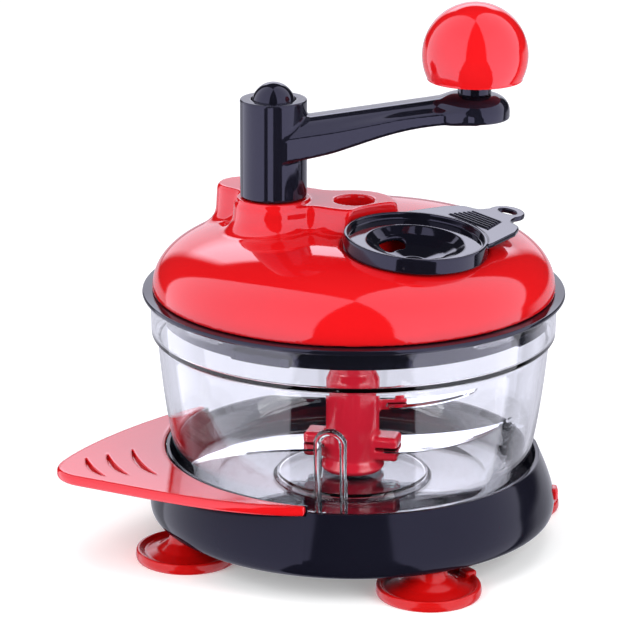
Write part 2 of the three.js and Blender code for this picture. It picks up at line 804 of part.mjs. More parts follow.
function crankArm() {
  const post = turned(
    [
      [0, POST_BOTTOM],
      [POST_RADIUS - 0.6, POST_BOTTOM],
      [POST_RADIUS, POST_BOTTOM + 0.6],
      [POST_RADIUS, POST_TOP - 0.7],
      [POST_RADIUS - 0.7, POST_TOP],
      [0, POST_TOP],
    ],
    32,
  );
  const armHalf = 14.2;
  const arm = raised(armProfile(), -armHalf, armHalf, 3.2, 6).rotateX(Math.PI / 2);
  const end = turned(
    [
      [0, ARM_END_BOTTOM],
      [ARM_END_RADIUS - 1, ARM_END_BOTTOM],
      [ARM_END_RADIUS, ARM_END_BOTTOM + 1],
      [ARM_END_RADIUS, ARM_END_TOP - 5.5],
      [ARM_END_RADIUS - 1.6, ARM_END_TOP - 1.8],
      [ARM_END_RADIUS - 5.5, ARM_END_TOP],
      [0, ARM_END_TOP],
    ],
    32,
  ).translate(CRANK_LENGTH, 0, 0);
  const capRecess = rod(CAP_RADIUS + 0.4, 190.6, POST_TOP + 5, 0, 0, 24);
  const shaftSocket = hexagon(SHAFT_RADIUS + 0.4, 150, 186);
  const screwHole = rod(2.5, 180, 195, 0, 0, TINY);
  const socket = rod(6.3, 201, 215, CRANK_LENGTH, 0);
  const underRecess = rod(5.4, 190, 198.3, CRANK_LENGTH, 0);
  const underHole = rod(2.4, 190, 205, CRANK_LENGTH, 0, TINY);
  return cut(join(post, arm, end), capRecess, shaftSocket, screwHole, socket, underRecess, underHole);
}

const CAP_RINGS = 5;

function crankCap() {
  const outline = [
    [0, 193.9],
    [6, 193.9],
    [CAP_RADIUS, 195],
  ];
  const centre = POST_TOP - 2.3;
  for (let i = 0; i <= CAP_RINGS; i++) {
    const angle = (Math.PI / 2) * (i / CAP_RINGS);
    outline.push([CAP_RADIUS * Math.cos(angle), centre + CAP_RADIUS * Math.sin(angle)]);
  }
  return turned(outline, 18);
}

function knobSpindle() {
  const spindle = turned(
    [
      [0, 201.3],
      [6, 201.3],
      [6, ARM_END_TOP + GAP],
      [7.8, ARM_END_TOP + GAP],
      [7.8, KNOB_BOTTOM + 1.2],
      [6, KNOB_BOTTOM + 1.2],
      [6, 233.4],
      [0, 234],
    ],
    SMALL,
  );
  return cut(spindle, rod(2.3, 195, 207.5, 0, 0, TINY));
}

const KNOB_RINGS = 7;

function knob() {
  const outline = [
    [8.2, KNOB_BOTTOM],
    [20.9, KNOB_BOTTOM],
    [21.9, KNOB_BOTTOM + 0.4],
  ];
  const first = Math.asin((KNOB_BOTTOM + 1.2 - KNOB_CENTRE) / KNOB_RADIUS);
  for (let i = 0; i <= KNOB_RINGS; i++) {
    const angle = THREE.MathUtils.lerp(first, Math.PI / 2, i / KNOB_RINGS);
    outline.push([KNOB_RADIUS * Math.cos(angle), KNOB_CENTRE + KNOB_RADIUS * Math.sin(angle)]);
  }
  outline.push([0, 234.6], [6.25, 234.2], [6.25, KNOB_BOTTOM + 1.6], [8.2, KNOB_BOTTOM + 1.6]);
  return turned(outline, 24);
}

function addCrank() {
  const crank = groupAt(POST_X, POST_Y, 0, CRANK_TURN);
  add("crank_arm", crankArm(), BLACK, crank);
  add("crank_shaft", crankShaft(), STEEL, crank);
  add("crank_cap", crankCap(), BLACK, crank);
  const topScrew = screw(4.6, 2.6, 1.9, 12).rotateX(Math.PI);
  add("crank_screw", topScrew.translate(0, 0, 190.6 + GAP), STEEL, crank);
  add("drive_gear", driveGear(radians(CRANK_TURN)), WHITE_NYLON, crank);
  const washer = turned(
    [
      [2.6, 118.9],
      [8, 118.9],
      [8, 119.6],
      [2.6, 119.6],
    ],
    SMALL,
  );
  add("gear_washer", washer, STEEL, crank);
  add("gear_screw", screw(4.4, 2.2, 1.9, 11).translate(0, 0, 118.6), STEEL, crank);
  const tip = groupAt(CRANK_LENGTH, 0, 0, 0, crank);
  add("knob_spindle", knobSpindle(), BLACK, tip);
  add("spindle_screw", screw(4.6, 2, 1.9, 7).translate(0, 0, 198.3 - GAP), STEEL, tip);
  add("knob", knob(), RED, tip);
  add("pinion", pinion(), WHITE_NYLON);
}

// ---------------------------------------------------------------- egg separator
function separatorHandle() {
  const plate = new THREE.Shape();
  plate.moveTo(17, -28);
  plate.lineTo(24, -27);
  plate.lineTo(43, -22.6);
  plate.quadraticCurveTo(49.5, -20.8, 51, -14.5);
  plate.quadraticCurveTo(52.4, -9, 57.4, -8.3);
  plate.absarc(61, 0, 8.8, radians(-106), radians(106), false);
  plate.quadraticCurveTo(52.4, 9, 51, 14.5);
  plate.quadraticCurveTo(49.5, 20.8, 43, 22.6);
  plate.lineTo(24, 27);
  plate.lineTo(17, 28);
  const hole = new THREE.Path();
  hole.absellipse(62, 0, 3.2, 5, 0, 2 * Math.PI, true);
  plate.holes.push(hole);
  const turn = radians(SEPARATOR_HANDLE_TURN);
  let handle = asSolid(raised(plate, -2.6, -0.3, 0.5, 6).rotateZ(turn));
  for (let i = 0; i < 6; i++) {
    const half = 12.6 - 0.7 * i;
    const rib = block(35 + 2.3 * i, 36.1 + 2.3 * i, -half, half, -0.9, 0.3);
    handle = join(handle, rib.rotateZ(turn));
  }
  return cut(handle, rod(31.6, -8, 2, 0, 0, 28));
}

const SLOT_START = 106;
const SLOT_END = 167;

function eggSeparator() {
  const pan = turned(
    [
      [0, -13.8],
      [7.6, -13.2],
      [15, -11],
      [20.2, -8],
      [23.8, -4.8],
      [31.8, -4.8],
      [32.2, -SEPARATOR_SKIRT],
      [SEPARATOR_RADIUS + 0.4, -SEPARATOR_SKIRT],
      [SEPARATOR_RADIUS, 0],
      [31.5, 0],
      [31.2, -3.2],
      [23, -3.2],
      [19, -6.6],
      [14, -9.4],
      [7, -11.5],
      [0, -12],
    ],
    28,
  );
  const slot = new THREE.Shape();
  slot.absarc(0, 0, 18, radians(SLOT_START), radians(SLOT_END), false);
  slot.absarc(0, 0, 11, radians(SLOT_END), radians(SLOT_START), true);
  const slotTool = raised(slot, -20, -2, 0, 6);
  return join(cut(pan, slotTool), separatorHandle());
}

function addSeparator() {
  const seat = groupAt(SEPARATOR_X, SEPARATOR_Y, SEPARATOR_Z);
  seat.rotation.set(radians(SEPARATOR_LEAN_X), radians(SEPARATOR_LEAN_Y), 0);
  add("egg_separator", eggSeparator(), BLACK, seat);
}

addBase();
addBowl();
addBlades();
addLid();
addCrank();
addSeparator();

export default model;
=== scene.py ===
"""Looks of a hand-crank food processor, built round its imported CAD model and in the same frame."""

import itertools
import json
import math

import bmesh
import bpy
import numpy as np
from mathutils import Matrix, Vector


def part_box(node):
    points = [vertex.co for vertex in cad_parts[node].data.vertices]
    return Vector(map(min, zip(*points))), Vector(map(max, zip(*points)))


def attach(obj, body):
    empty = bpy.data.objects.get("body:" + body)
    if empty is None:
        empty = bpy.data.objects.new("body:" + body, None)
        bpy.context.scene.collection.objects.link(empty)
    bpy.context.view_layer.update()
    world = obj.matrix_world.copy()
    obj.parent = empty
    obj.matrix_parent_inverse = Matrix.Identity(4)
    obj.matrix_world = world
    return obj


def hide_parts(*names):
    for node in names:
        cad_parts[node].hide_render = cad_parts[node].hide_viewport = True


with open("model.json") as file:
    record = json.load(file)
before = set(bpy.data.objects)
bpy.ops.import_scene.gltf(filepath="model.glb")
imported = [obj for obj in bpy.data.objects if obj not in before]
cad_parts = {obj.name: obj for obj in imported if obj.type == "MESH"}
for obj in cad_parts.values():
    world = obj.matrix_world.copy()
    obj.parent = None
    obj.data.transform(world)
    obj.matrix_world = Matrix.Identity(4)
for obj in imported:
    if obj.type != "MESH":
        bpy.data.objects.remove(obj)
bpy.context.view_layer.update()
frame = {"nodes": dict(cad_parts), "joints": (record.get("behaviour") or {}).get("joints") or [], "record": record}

# Shapes are worked out in millimetres and written to Blender in metres.
MM = 0.001
COARSE = 1.0
JOINTS = {joint["name"]: joint for joint in frame["joints"]}


def extent(node):
    """Lowest and highest corner of a CAD node in millimetres."""
    low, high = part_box(node)
    return np.array(low) / MM, np.array(high) / MM


# ------------------------------------------------------------------ sizes read from the frame
base_high = extent("base_shell")[1]
bowl_high = extent("bowl")[1]
bead_low, bead_high = extent("lid_seal_ring")
lid_low, lid_high = extent("lid_shell")
plate_low, plate_high = extent("lid_plate")
handle_low, handle_high = extent("side_handle")
arm_low, arm_high = extent("crank_arm")
knob_low, knob_high = extent("knob")
column_low, column_high = extent("blade_column")

POST = np.array(JOINTS["crank_spin"]["pos_m"]) / MM
TIP = np.array(JOINTS["knob_spin"]["pos_m"]) / MM
CRANK_TURN = math.atan2(TIP[1] - POST[1], TIP[0] - POST[0])
CRANK_LENGTH = math.hypot(TIP[1] - POST[1], TIP[0] - POST[0])
LIP_TOP = base_high[2]
RIM_TOP = LIP_TOP - 3.0
BASE_RADIUS = base_high[1]
DOME_BOTTOM = lid_low[2]
DOME_RADIUS = lid_high[1]
BOSS_TOP = lid_high[2]
BOWL_TOP = bowl_high[2]
COLLAR_RADIUS = bowl_high[1]


# ------------------------------------------------------------------ signed distances
def length(*parts):
    return np.sqrt(sum(part * part for part in parts))


def round_union(a, b, radius):
    corner = length(np.maximum(radius - a, 0), np.maximum(radius - b, 0))
    return np.maximum(radius, np.minimum(a, b)) - corner


def round_common(a, b, radius):
    corner = length(np.maximum(radius + a, 0), np.maximum(radius + b, 0))
    return np.minimum(-radius, np.maximum(a, b)) + corner


def carve(a, b, radius):
    return round_common(a, -b, radius)


def drum(x, y, z, radius, bottom, top, edge):
    """A round bar on the Z axis with rounded rims."""
    side = np.hypot(x, y) - radius
    ends = np.abs(z - (bottom + top) / 2) - (top - bottom) / 2
    return round_common(side, ends, edge)


def brick(x, y, z, low, high, edge):
    """A box with rounded edges between two corners."""
    parts = [
        np.abs(value - (low[i] + high[i]) / 2) - (high[i] - low[i]) / 2 + edge
        for i, value in enumerate((x, y, z))
    ]
    outer = length(*(np.maximum(part, 0) for part in parts))
    return outer + np.minimum(np.maximum.reduce(parts), 0) - edge


def link(x, y, a, b, radius):
    """A bar with round ends between two points of the plane."""
    along = (b[0] - a[0], b[1] - a[1])
    share = ((x - a[0]) * along[0] + (y - a[1]) * along[1]) / (along[0] ** 2 + along[1] ** 2)
    share = np.clip(share, 0, 1)
    return np.hypot(x - a[0] - share * along[0], y - a[1] - share * along[1]) - radius


def turned_back(x, y, angle):
    """Coordinates in a frame that is turned about Z by an angle."""
    c, s = math.cos(angle), math.sin(angle)
    return c * x + s * y, -s * x + c * y


class Outline:
    """Signed distance to a closed outline in a plane, read from a fine grid."""

    def __init__(self, points, step=0.25, margin=6.0):
        points = np.asarray(points, float)
        self.step = step
        self.low = points.min(0) - margin
        count = np.ceil((points.max(0) + margin - self.low) / step).astype(int) + 1
        xs = self.low[0] + step * np.arange(count[0])
        ys = self.low[1] + step * np.arange(count[1])
        x, y = np.meshgrid(xs, ys, indexing="ij")
        nearest = np.full(x.shape, np.inf)
        inside = np.zeros(x.shape, bool)
        for (ax, ay), (bx, by) in zip(points, np.roll(points, -1, 0)):
            dx, dy = bx - ax, by - ay
            if dx * dx + dy * dy < 1e-12:
                continue
            share = np.clip(((x - ax) * dx + (y - ay) * dy) / (dx * dx + dy * dy), 0, 1)
            nearest = np.minimum(nearest, (x - ax - share * dx) ** 2 + (y - ay - share * dy) ** 2)
            if ay != by:
                crosses = (ay > y) != (by > y)
                inside ^= crosses & (x < ax + dx * (y - ay) / dy)
        self.table = np.sqrt(nearest) * np.where(inside, -1, 1)

    def __call__(self, x, y):
        u = (x - self.low[0]) / self.step
        v = (y - self.low[1]) / self.step
        rows, columns = self.table.shape
        i = np.clip(np.floor(u).astype(int), 0, rows - 2)
        j = np.clip(np.floor(v).astype(int), 0, columns - 2)
        a = np.clip(u - i, 0, 1)
        b = np.clip(v - j, 0, 1)
        t = self.table
        near = t[i, j] * (1 - a) + t[i + 1, j] * a
        far = t[i, j + 1] * (1 - a) + t[i + 1, j + 1] * a
        beyond = np.hypot(u - np.clip(u, 0, rows - 1), v - np.clip(v, 0, columns - 1)) * self.step
        return near * (1 - b) + far * b + beyond


# ------------------------------------------------------------------ outlines
def bezier(*controls, count=40):
    """Points along a Bezier curve, without its last one."""
    controls = [np.array(point, float) for point in controls]
    t = np.arange(count)[:, None] / count
    degree = len(controls) - 1
    return sum(
        math.comb(degree, i) * (1 - t) ** (degree - i) * t**i * point
        for i, point in enumerate(controls)
    )


def arc(radius, start, end, centre=(0, 0), count=60):
    """Points along an arc, angles in degrees."""
    angles = np.radians(np.linspace(start, end, count))
    return np.stack([centre[0] + radius * np.cos(angles), centre[1] + radius * np.sin(angles)], 1)


def filleted(corners, closed=True, steps=6):
    """An outline through (x, y) or (x, y, radius) corners, with each corner rounded."""
    spots = [np.array(corner[:2], float) for corner in corners]
    radii = [corner[2] if len(corner) > 2 else 0 for corner in corners]
    made = []
    for i, (spot, radius) in enumerate(zip(spots, radii)):
        ends = not closed and i in (0, len(spots) - 1)
        if not radius or ends:
            made.append(spot)
            continue
        before = spots[i - 1] - spot
        after = spots[(i + 1) % len(spots)] - spot
        room = 0.48 * min(np.linalg.norm(before), np.linalg.norm(after))
        before, after = before / np.linalg.norm(before), after / np.linalg.norm(after)
        half = math.acos(max(-1.0, min(1.0, float(before @ after)))) / 2
        reach = min(radius / max(math.tan(half), 1e-3), room)
        made.extend(bezier(spot + before * reach, spot, spot + after * reach, count=steps))
        made.append(spot + after * reach)
    return np.array(made)


# ------------------------------------------------------------------ meshes
def mesh_object(name, points, faces, sharp=math.radians(38)):
    """A smooth-shaded mesh object; points in millimetres, faces as an array of quads."""
    mesh = bpy.data.meshes.new(name)
    points = np.asarray(points, float) * MM
    faces = np.asarray(faces, np.int32)
    mesh.vertices.add(len(points))
    mesh.vertices.foreach_set("co", points.astype(np.float32).ravel())
    mesh.loops.add(faces.size)
    mesh.loops.foreach_set("vertex_index", faces.ravel())
    mesh.polygons.add(len(faces))
    mesh.polygons.foreach_set("loop_start", np.arange(0, faces.size, faces.shape[1], dtype=np.int32))
    mesh.update(calc_edges=True)
    mesh.validate()
    mesh.polygons.foreach_set("use_smooth", np.ones(len(mesh.polygons), bool))
    if sharp:
        mesh.set_sharp_from_angle(angle=sharp)
    piece = bpy.data.objects.new(name, mesh)
    bpy.context.scene.collection.objects.link(piece)
    return piece


def skin(field, low, high, cell):
    """Vertices and quads of the surface where a field is zero: one vertex for each cell it crosses."""
    axes = [np.arange(low[i], high[i] + cell, cell) for i in range(3)]
    x, y = np.meshgrid(axes[0], axes[1], indexing="ij")
    value = np.stack([field(x, y, np.full_like(x, level)) for level in axes[2]], 2)
    inside = value < 0
    size = np.array(value.shape) - 1
    filled = sum(
        inside[a : a + size[0], b : b + size[1], c : c + size[2]].astype(np.int8)
        for a, b, c in itertools.product((0, 1), repeat=3)
    )
    active = (filled > 0) & (filled < 8)
    cells = np.argwhere(active)
    number = np.full(active.shape, -1, np.int64)
    number[active] = np.arange(len(cells))
    total = np.zeros((len(cells), 3))
    count = np.zeros(len(cells))
    for axis in range(3):
        unit = np.eye(3, dtype=int)[axis]
        for pair in itertools.product((0, 1), repeat=2):
            start = np.insert(np.array(pair), axis, 0)
            first = value[tuple((cells + start).T)]
            second = value[tuple((cells + start + unit).T)]
            crossed = (first < 0) != (second < 0)
            share = first[crossed] / (first[crossed] - second[crossed])
            total[crossed] += start + share[:, None] * unit
            count[crossed] += 1
    points = np.array(low, float) + cell * (cells + total / count[:, None])
    quads = []
    for axis in range(3):
        b, c = (axis + 1) % 3, (axis + 2) % 3
        span = [slice(None)] * 3
        span[axis] = slice(0, -1)
        ahead = list(span)
        ahead[axis] = slice(1, None)
        change = inside[tuple(span)] != inside[tuple(ahead)]
        spots = np.argwhere(change)
        keep = (spots[:, b] > 0) & (spots[:, b] < size[b]) & (spots[:, c] > 0) & (spots[:, c] < size[c])
        spots = spots[keep]
        leaves = inside[tuple(spots.T)]
        around = []
        for step_b, step_c in ((-1, -1), (0, -1), (0, 0), (-1, 0)):
            cell_at = spots.copy()
            cell_at[:, b] += step_b
            cell_at[:, c] += step_c
            around.append(number[tuple(cell_at.T)])
        ring = np.stack(around, 1)
        ring[~leaves] = ring[~leaves][:, ::-1]
        quads.append(ring)
    return points, np.concatenate(quads)


def settle(field, points, cell, rounds):
    """Moves points along the field's slope onto its zero surface."""
    reach = 0.04
    for _ in range(rounds):
        x, y, z = points.T
        value = field(x, y, z)
        slope = np.stack(
            [
                field(x + reach, y, z) - field(x - reach, y, z),
                field(x, y + reach, z) - field(x, y - reach, z),
                field(x, y, z + reach) - field(x, y, z - reach),
            ],
            1,
        ) / (2 * reach)
        steep = np.maximum((slope**2).sum(1), 0.2)
        points = points - (np.clip(value, -cell / 2, cell / 2) / steep)[:, None] * slope
    return points


def relaxed(points, quads, share):
    """Moves each point part of the way to the mean of its neighbours."""
    total = np.zeros_like(points)
    count = np.zeros(len(points))
    for a, b in ((0, 1), (1, 2), (2, 3), (3, 0)):
        for one, other in ((a, b), (b, a)):
            for axis in range(3):
                total[:, axis] += np.bincount(quads[:, one], points[quads[:, other], axis], len(points))
            count += np.bincount(quads[:, one], minlength=len(points))
    return points + share * (total / count[:, None] - points)


def moulded(name, field, low, high, cell, place=None):
    """A moulded piece with the shape of a signed distance field."""
    cell = cell * COARSE
    points, quads = skin(field, low, high, cell)
    points = settle(field, points, cell, 2)
    for _ in range(2):
        points = relaxed(points, quads, 0.5)
        points = settle(field, points, cell, 2)
    if place is not None:
        points = points @ np.array(place)[:3, :3].T + np.array(place)[:3, 3]
    return mesh_object(name, points, quads, sharp=None)


def grid_faces(rows, columns, wrap_rows, wrap_columns):
    """Quads that join a grid of points, row by row."""
    i = np.arange(rows if wrap_rows else rows - 1)
    j = np.arange(columns if wrap_columns else columns - 1)
    i, j = (part.ravel() for part in np.meshgrid(i, j, indexing="ij"))
    down, right = (i + 1) % rows, (j + 1) % columns
    corners = (i * columns + j, down * columns + j, down * columns + right, i * columns + right)
    return np.stack(corners, 1)


def turned(name, section, angles=None, centre=(0, 0), closed=True, sides=160):
    """A turned piece; the section is an outline of (radius, height) or a function of the angle."""
    if angles is None:
        angles = np.linspace(0, 2 * math.pi, sides, endpoint=False)
    rows = []
    for angle in angles:
        outline = section(angle) if callable(section) else section
        radius, height = outline[:, 0], outline[:, 1]
        x = centre[0] + radius * math.cos(angle)
        y = centre[1] + radius * math.sin(angle)
        rows.append(np.stack([x, y, height], 1))
    points = np.array(rows)
    outline = points[0]
    radii = np.hypot(outline[:, 0] - centre[0], outline[:, 1] - centre[1])
    area = np.sum(radii * np.roll(outline[:, 2], -1) - np.roll(radii, -1) * outline[:, 2])
    faces = grid_faces(len(points), points.shape[1], True, closed)
    if area < 0:
        faces = faces[:, ::-1]
    piece = mesh_object(name, points.reshape(-1, 3), faces)
    weld(piece)
    return piece


def weld(piece):
    """Merges points that share a place, such as those on an axis."""
    made = bmesh.new()
    made.from_mesh(piece.data)
    bmesh.ops.remove_doubles(made, verts=made.verts, dist=2e-6)
    bmesh.ops.dissolve_degenerate(made, edges=made.edges, dist=1e-7)
    made.to_mesh(piece.data)
    made.free()
    piece.data.set_sharp_from_angle(angle=math.radians(38))


def flat_look(piece):
    """Keeps large flat faces flat where they meet small rounded edges."""
    modifier = piece.modifiers.new("flat_faces", "WEIGHTED_NORMAL")
    modifier.keep_sharp = True
    return piece


def fit(piece, body, nodes, material):
    """Gives a finished piece its finish and its body, and hides the CAD nodes it stands for."""
    piece.data.materials.clear()
    piece.data.materials.append(material)
    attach(piece, body)
    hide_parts(*nodes)
    return piece


# ------------------------------------------------------------------ finishes
def node_tree(name):
    material = bpy.data.materials.new(name)
    material.use_nodes = True
    tree = material.node_tree
    return material, tree, tree.nodes["Principled BSDF"]


def feed(tree, node, values):
    """Gives a node's inputs a value or another node's output each."""
    for name, value in values.items():
        if isinstance(value, bpy.types.NodeSocket):
            tree.links.new(value, node.inputs[name])
        else:
            node.inputs[name].default_value = value
    return node


def add(tree, kind, values):
    return feed(tree, tree.nodes.new("ShaderNode" + kind), values)


def noise(tree, scale, detail=3.0):
    """A noise texture in the object's own space."""
    place = add(tree, "TexCoord", {}).outputs["Object"]
    return add(tree, "TexNoise", {"Scale": scale, "Detail": detail, "Vector": place}).outputs["Fac"]


def remap(tree, value, low, high, from_low=0.3, from_high=0.7):
    ends = {"From Min": from_low, "From Max": from_high, "To Min": low, "To Max": high}
    return add(tree, "MapRange", {**ends, "Value": value}).outputs["Result"]


def math_node(tree, operation, a, b=None):
    node = add(tree, "Math", {0: a} if b is None else {0: a, 1: b})
    node.operation = operation
    return node.outputs[0]


def blend_colour(tree, share, first, second):
    mixed = tree.nodes.new("ShaderNodeMix")
    mixed.data_type = "RGBA"
    for socket, colour in (("A", first), ("B", second)):
        target = next(i for i in mixed.inputs if i.name == socket and i.type == "RGBA")
        if isinstance(colour, tuple):
            target.default_value = (*colour, 1.0)
        else:
            tree.links.new(colour, target)
    feed(tree, mixed, {0: share})
    return next(o for o in mixed.outputs if o.type == "RGBA")


def bump(tree, height, strength, distance):
    values = {"Strength": strength, "Distance": distance, "Height": height}
    return add(tree, "Bump", values).outputs["Normal"]


def edge_highlight_mask(tree):
    """Mask of a painted highlight: 1 along sharp outer edges, 0 elsewhere."""
    edges = add(tree, "NewGeometry", {}).outputs["Pointiness"]
    return remap(tree, edges, 0.0, 1.0, 0.53, 0.62)


def plastic(name, colour, deep, roughness, grain=2600.0, shine=0.5, sheen=(1.0, 1.0, 1.0)):
    """Moulded plastic: slight colour drift, smudges in the gloss, fine skin and a painted highlight, a lighter
    colour along sharp outer edges.
    """
    material, tree, shader = node_tree(name)
    drift = remap(tree, noise(tree, 9.0), 0.0, 1.0)
    body = blend_colour(tree, drift, deep, colour)
    # painted highlight: sharp outer edges take a lighter copy of the colour
    edge_highlight_colour = blend_colour(tree, edge_highlight_mask(tree), body, tuple(min(1.0, c * 1.25 + 0.01) for c in colour))
    smudge = remap(tree, noise(tree, 24.0, 5.0), roughness * 0.7, roughness * 1.5)
    fine = bump(tree, noise(tree, grain, 2.0), 0.05, 0.00003)
    feed(tree, shader, {"Base Color": edge_highlight_colour, "Roughness": smudge, "Normal": fine, "IOR": 1.5})
    feed(tree, shader, {"Specular IOR Level": shine, "Specular Tint": (*sheen, 1.0)})
    return material


def steel(name, colour, roughness, stretch):
    """Metal with fine grinding lines across one axis."""
    material, tree, shader = node_tree(name)
    place = add(tree, "TexCoord", {}).outputs["Object"]
    squeezed = add(tree, "Mapping", {"Scale": stretch, "Vector": place}).outputs["Vector"]
    lines = add(tree, "TexNoise", {"Scale": 400.0, "Detail": 2.0, "Vector": squeezed}).outputs["Fac"]
    tint = blend_colour(tree, remap(tree, noise(tree, 30.0), 0, 1), tuple(c * 0.93 for c in colour), colour)
    rough = remap(tree, lines, roughness * 0.6, roughness * 1.6)
    fine = bump(tree, lines, 0.08, 0.00002)
    feed(tree, shader, {"Base Color": tint, "Metallic": 1.0, "Roughness": rough, "Normal": fine})
    return material


def clear_plastic(name):
    """Clear moulded plastic with faint flow lines; light passes it without a dark shadow."""
    material, tree, shader = node_tree(name)
    haze = remap(tree, noise(tree, 16.0, 6.0), 0.0, 0.012, 0.45, 0.8)
    lines = bump(tree, noise(tree, 60.0, 2.0), 0.02, 0.0001)
    feed(tree, shader, {"Base Color": (0.985, 0.99, 1.0, 1.0), "Roughness": haze, "Normal": lines})
    feed(tree, shader, {"Transmission Weight": 1.0, "IOR": 1.46})
    path = add(tree, "LightPath", {}).outputs
    soft = math_node(tree, "MAXIMUM", path["Is Shadow Ray"], path["Is Diffuse Ray"])
    through = add(tree, "BsdfTransparent", {"Color": (0.93, 0.95, 0.97, 1.0)}).outputs["BSDF"]
    mixed = add(tree, "MixShader", {"Fac": soft, 1: shader.outputs["BSDF"], 2: through})
    feed(tree, tree.nodes["Material Output"], {"Surface": mixed.outputs["Shader"]})
    return material


PINK_SHEEN = (1.0, 0.88, 1.0)
BLUE_SHEEN = (0.72, 0.70, 1.0)
RED = plastic("red_plastic", (0.60, 0.007, 0.009), (0.55, 0.005, 0.007), 0.06, shine=0.66, sheen=PINK_SHEEN)
COLUMN_RED = plastic("column_red", (0.84, 0.022, 0.05), (0.76, 0.016, 0.04), 0.12)
RUBBER = plastic("red_rubber", (0.50, 0.004, 0.004), (0.44, 0.003, 0.003), 0.16, 1500.0, shine=0.35)
BLACK = plastic("black_plastic", (0.0060, 0.0060, 0.0105), (0.0042, 0.0042, 0.0080), 0.06, sheen=BLUE_SHEEN)
BASE_BLACK = plastic(
    "base_black", (0.0060, 0.0060, 0.0115), (0.0042, 0.0042, 0.0085), 0.09, shine=0.22, sheen=BLUE_SHEEN
)
NYLON = plastic("white_nylon", (0.80, 0.79, 0.74), (0.72, 0.71, 0.66), 0.4)
BLADE = steel("blade_steel", (0.86, 0.87, 0.89), 0.07, (1.0, 14.0, 1.0))
FASTENER = steel("fastener_steel", (0.62, 0.63, 0.65), 0.22, (1.0, 1.0, 12.0))
CLEAR = clear_plastic("clear_plastic")

SLOT_FINISH = {
    "red_plastic": RED,
    "red_plastic_translucent": COLUMN_RED,
    "red_rubber": RUBBER,
    "black_plastic": BLACK,
    "white_nylon": NYLON,
    "blade_steel": BLADE,
    "fastener_steel": FASTENER,
    "clear_plastic": CLEAR,
}


def finish_cad_nodes():
    """Every CAD node that stays takes the finish of its material slot."""
    for entry in frame["record"]["subparts"]:
        node = frame["nodes"][entry["node"]]
        node.data.materials.clear()
        node.data.materials.append(SLOT_FINISH[entry["material_slot"]])
        node.data.polygons.foreach_set("use_smooth", np.ones(len(node.data.polygons), bool))
        node.data.set_sharp_from_angle(angle=math.radians(32))


# ------------------------------------------------------------------ base
RIM_RADIUS = 89.9
RIM_INNER = 87.6
LIP_OUTER = 89.2
DECK = 13.5
COVER_RADIUS = 72.9
LEDGE = 27.9
HANDLE_START = 147.0
HANDLE_END = 256.6


def base_section(lip):
    """The base ring's section; lip is 1 where the side handle's ledge is and 0 elsewhere."""
    lip_top = RIM_TOP + (LIP_TOP - RIM_TOP) * lip
    ledge = RIM_TOP + (LEDGE - RIM_TOP) * lip
    edge = 0.7
    flank_top = RIM_RADIUS + (RIM_TOP - ledge) * 0.42
    wall = [(RIM_INNER - 0.9, DECK, 2.0), (RIM_INNER, lip_top, 0.5)]
    inner = filleted([(0, DECK), *wall, (LIP_OUTER, lip_top)], False)
    step = [(LIP_OUTER, ledge), (flank_top - edge, ledge), (flank_top - 0.2, ledge - 0.15)]
    flank = bezier(
        (flank_top, ledge - edge),
        (flank_top + 2.6, ledge - 6.5),
        (BASE_RADIUS - 0.6, 14.0),
        (BASE_RADIUS, 6.5),
        count=26,
    )
    foot_end = (BASE_RADIUS - 4.6, 0)
    foot = bezier((BASE_RADIUS, 6.5), (BASE_RADIUS + 0.1, 1.2), (BASE_RADIUS - 1.2, 0), foot_end, count=12)
    under = [
        (BASE_RADIUS - 4.6, 0),
        (COVER_RADIUS, 0),
        (COVER_RADIUS, 2.6),
        (BASE_RADIUS - 2.9, 2.6),
        (BASE_RADIUS - 3.2, 11),
        (RIM_RADIUS + 0.4, 20.5),
        (RIM_RADIUS + 0.4, DECK - 2.3),
        (0, DECK - 2.3),
    ]
    return np.concatenate([inner, step, flank, foot, under])


def base_angles():
    """Even steps, with a pair of close angles at each end of the handle's ledge."""
    even = np.linspace(0, 360, 240, endpoint=False)
    ends = [HANDLE_START, HANDLE_START + 0.05, HANDLE_END - 0.05, HANDLE_END]
    clear = [a for a in even if min(abs(a - end) for end in ends) > 0.5]
    return np.radians(sorted(clear + ends))


def make_base():
    start, end = math.radians(HANDLE_START + 0.02), math.radians(HANDLE_END - 0.02)
    with_lip, plain = base_section(1.0), base_section(0.0)
    shell = turned(
        "base_shell_fine",
        lambda angle: with_lip if start < angle < end else plain,
        base_angles(),
        closed=False,
    )
    fit(flat_look(shell), "base", ["base_shell"], BASE_BLACK)


HANDLE_BOTTOM = handle_low[2]
HANDLE_TOP = handle_high[2]
GROOVES = [(-126, -26.4, 11.2, 25.5), (-116.5, -19.8, 12.6, 30.5), (-105, -13.7, 14.2, 36)]


def handle_outline():
    front = arc(92.6, HANDLE_END - 0.3, HANDLE_END - 0.3, count=1)[0]
    back = arc(92.6, HANDLE_START + 0.3, HANDLE_START + 0.3, count=1)[0]
    return np.concatenate(
        [
            bezier(front, (-58, -91), (-88, -72.5), (-128, -53.5), count=120),
            bezier((-128, -53.5), (-139, -48), (-141, -38), (-136.5, -28), count=60),
            bezier((-136.5, -28), (-128, -6), (-104, 28), back, count=120),
            [back],
            arc(89.7, HANDLE_START + 0.3, HANDLE_END - 0.3, count=160),
        ]
    )


def groove_outline(x, y, width, reach):
    there = bezier((0, 0), (width * 0.12 + 2.6, -reach * 0.58), (width, -reach), count=40)
    back = bezier((width, -reach), (width * 0.12 - 1.8, -reach * 0.66), (0, 0), count=40)
    return np.concatenate([there, back]) + (x, y)


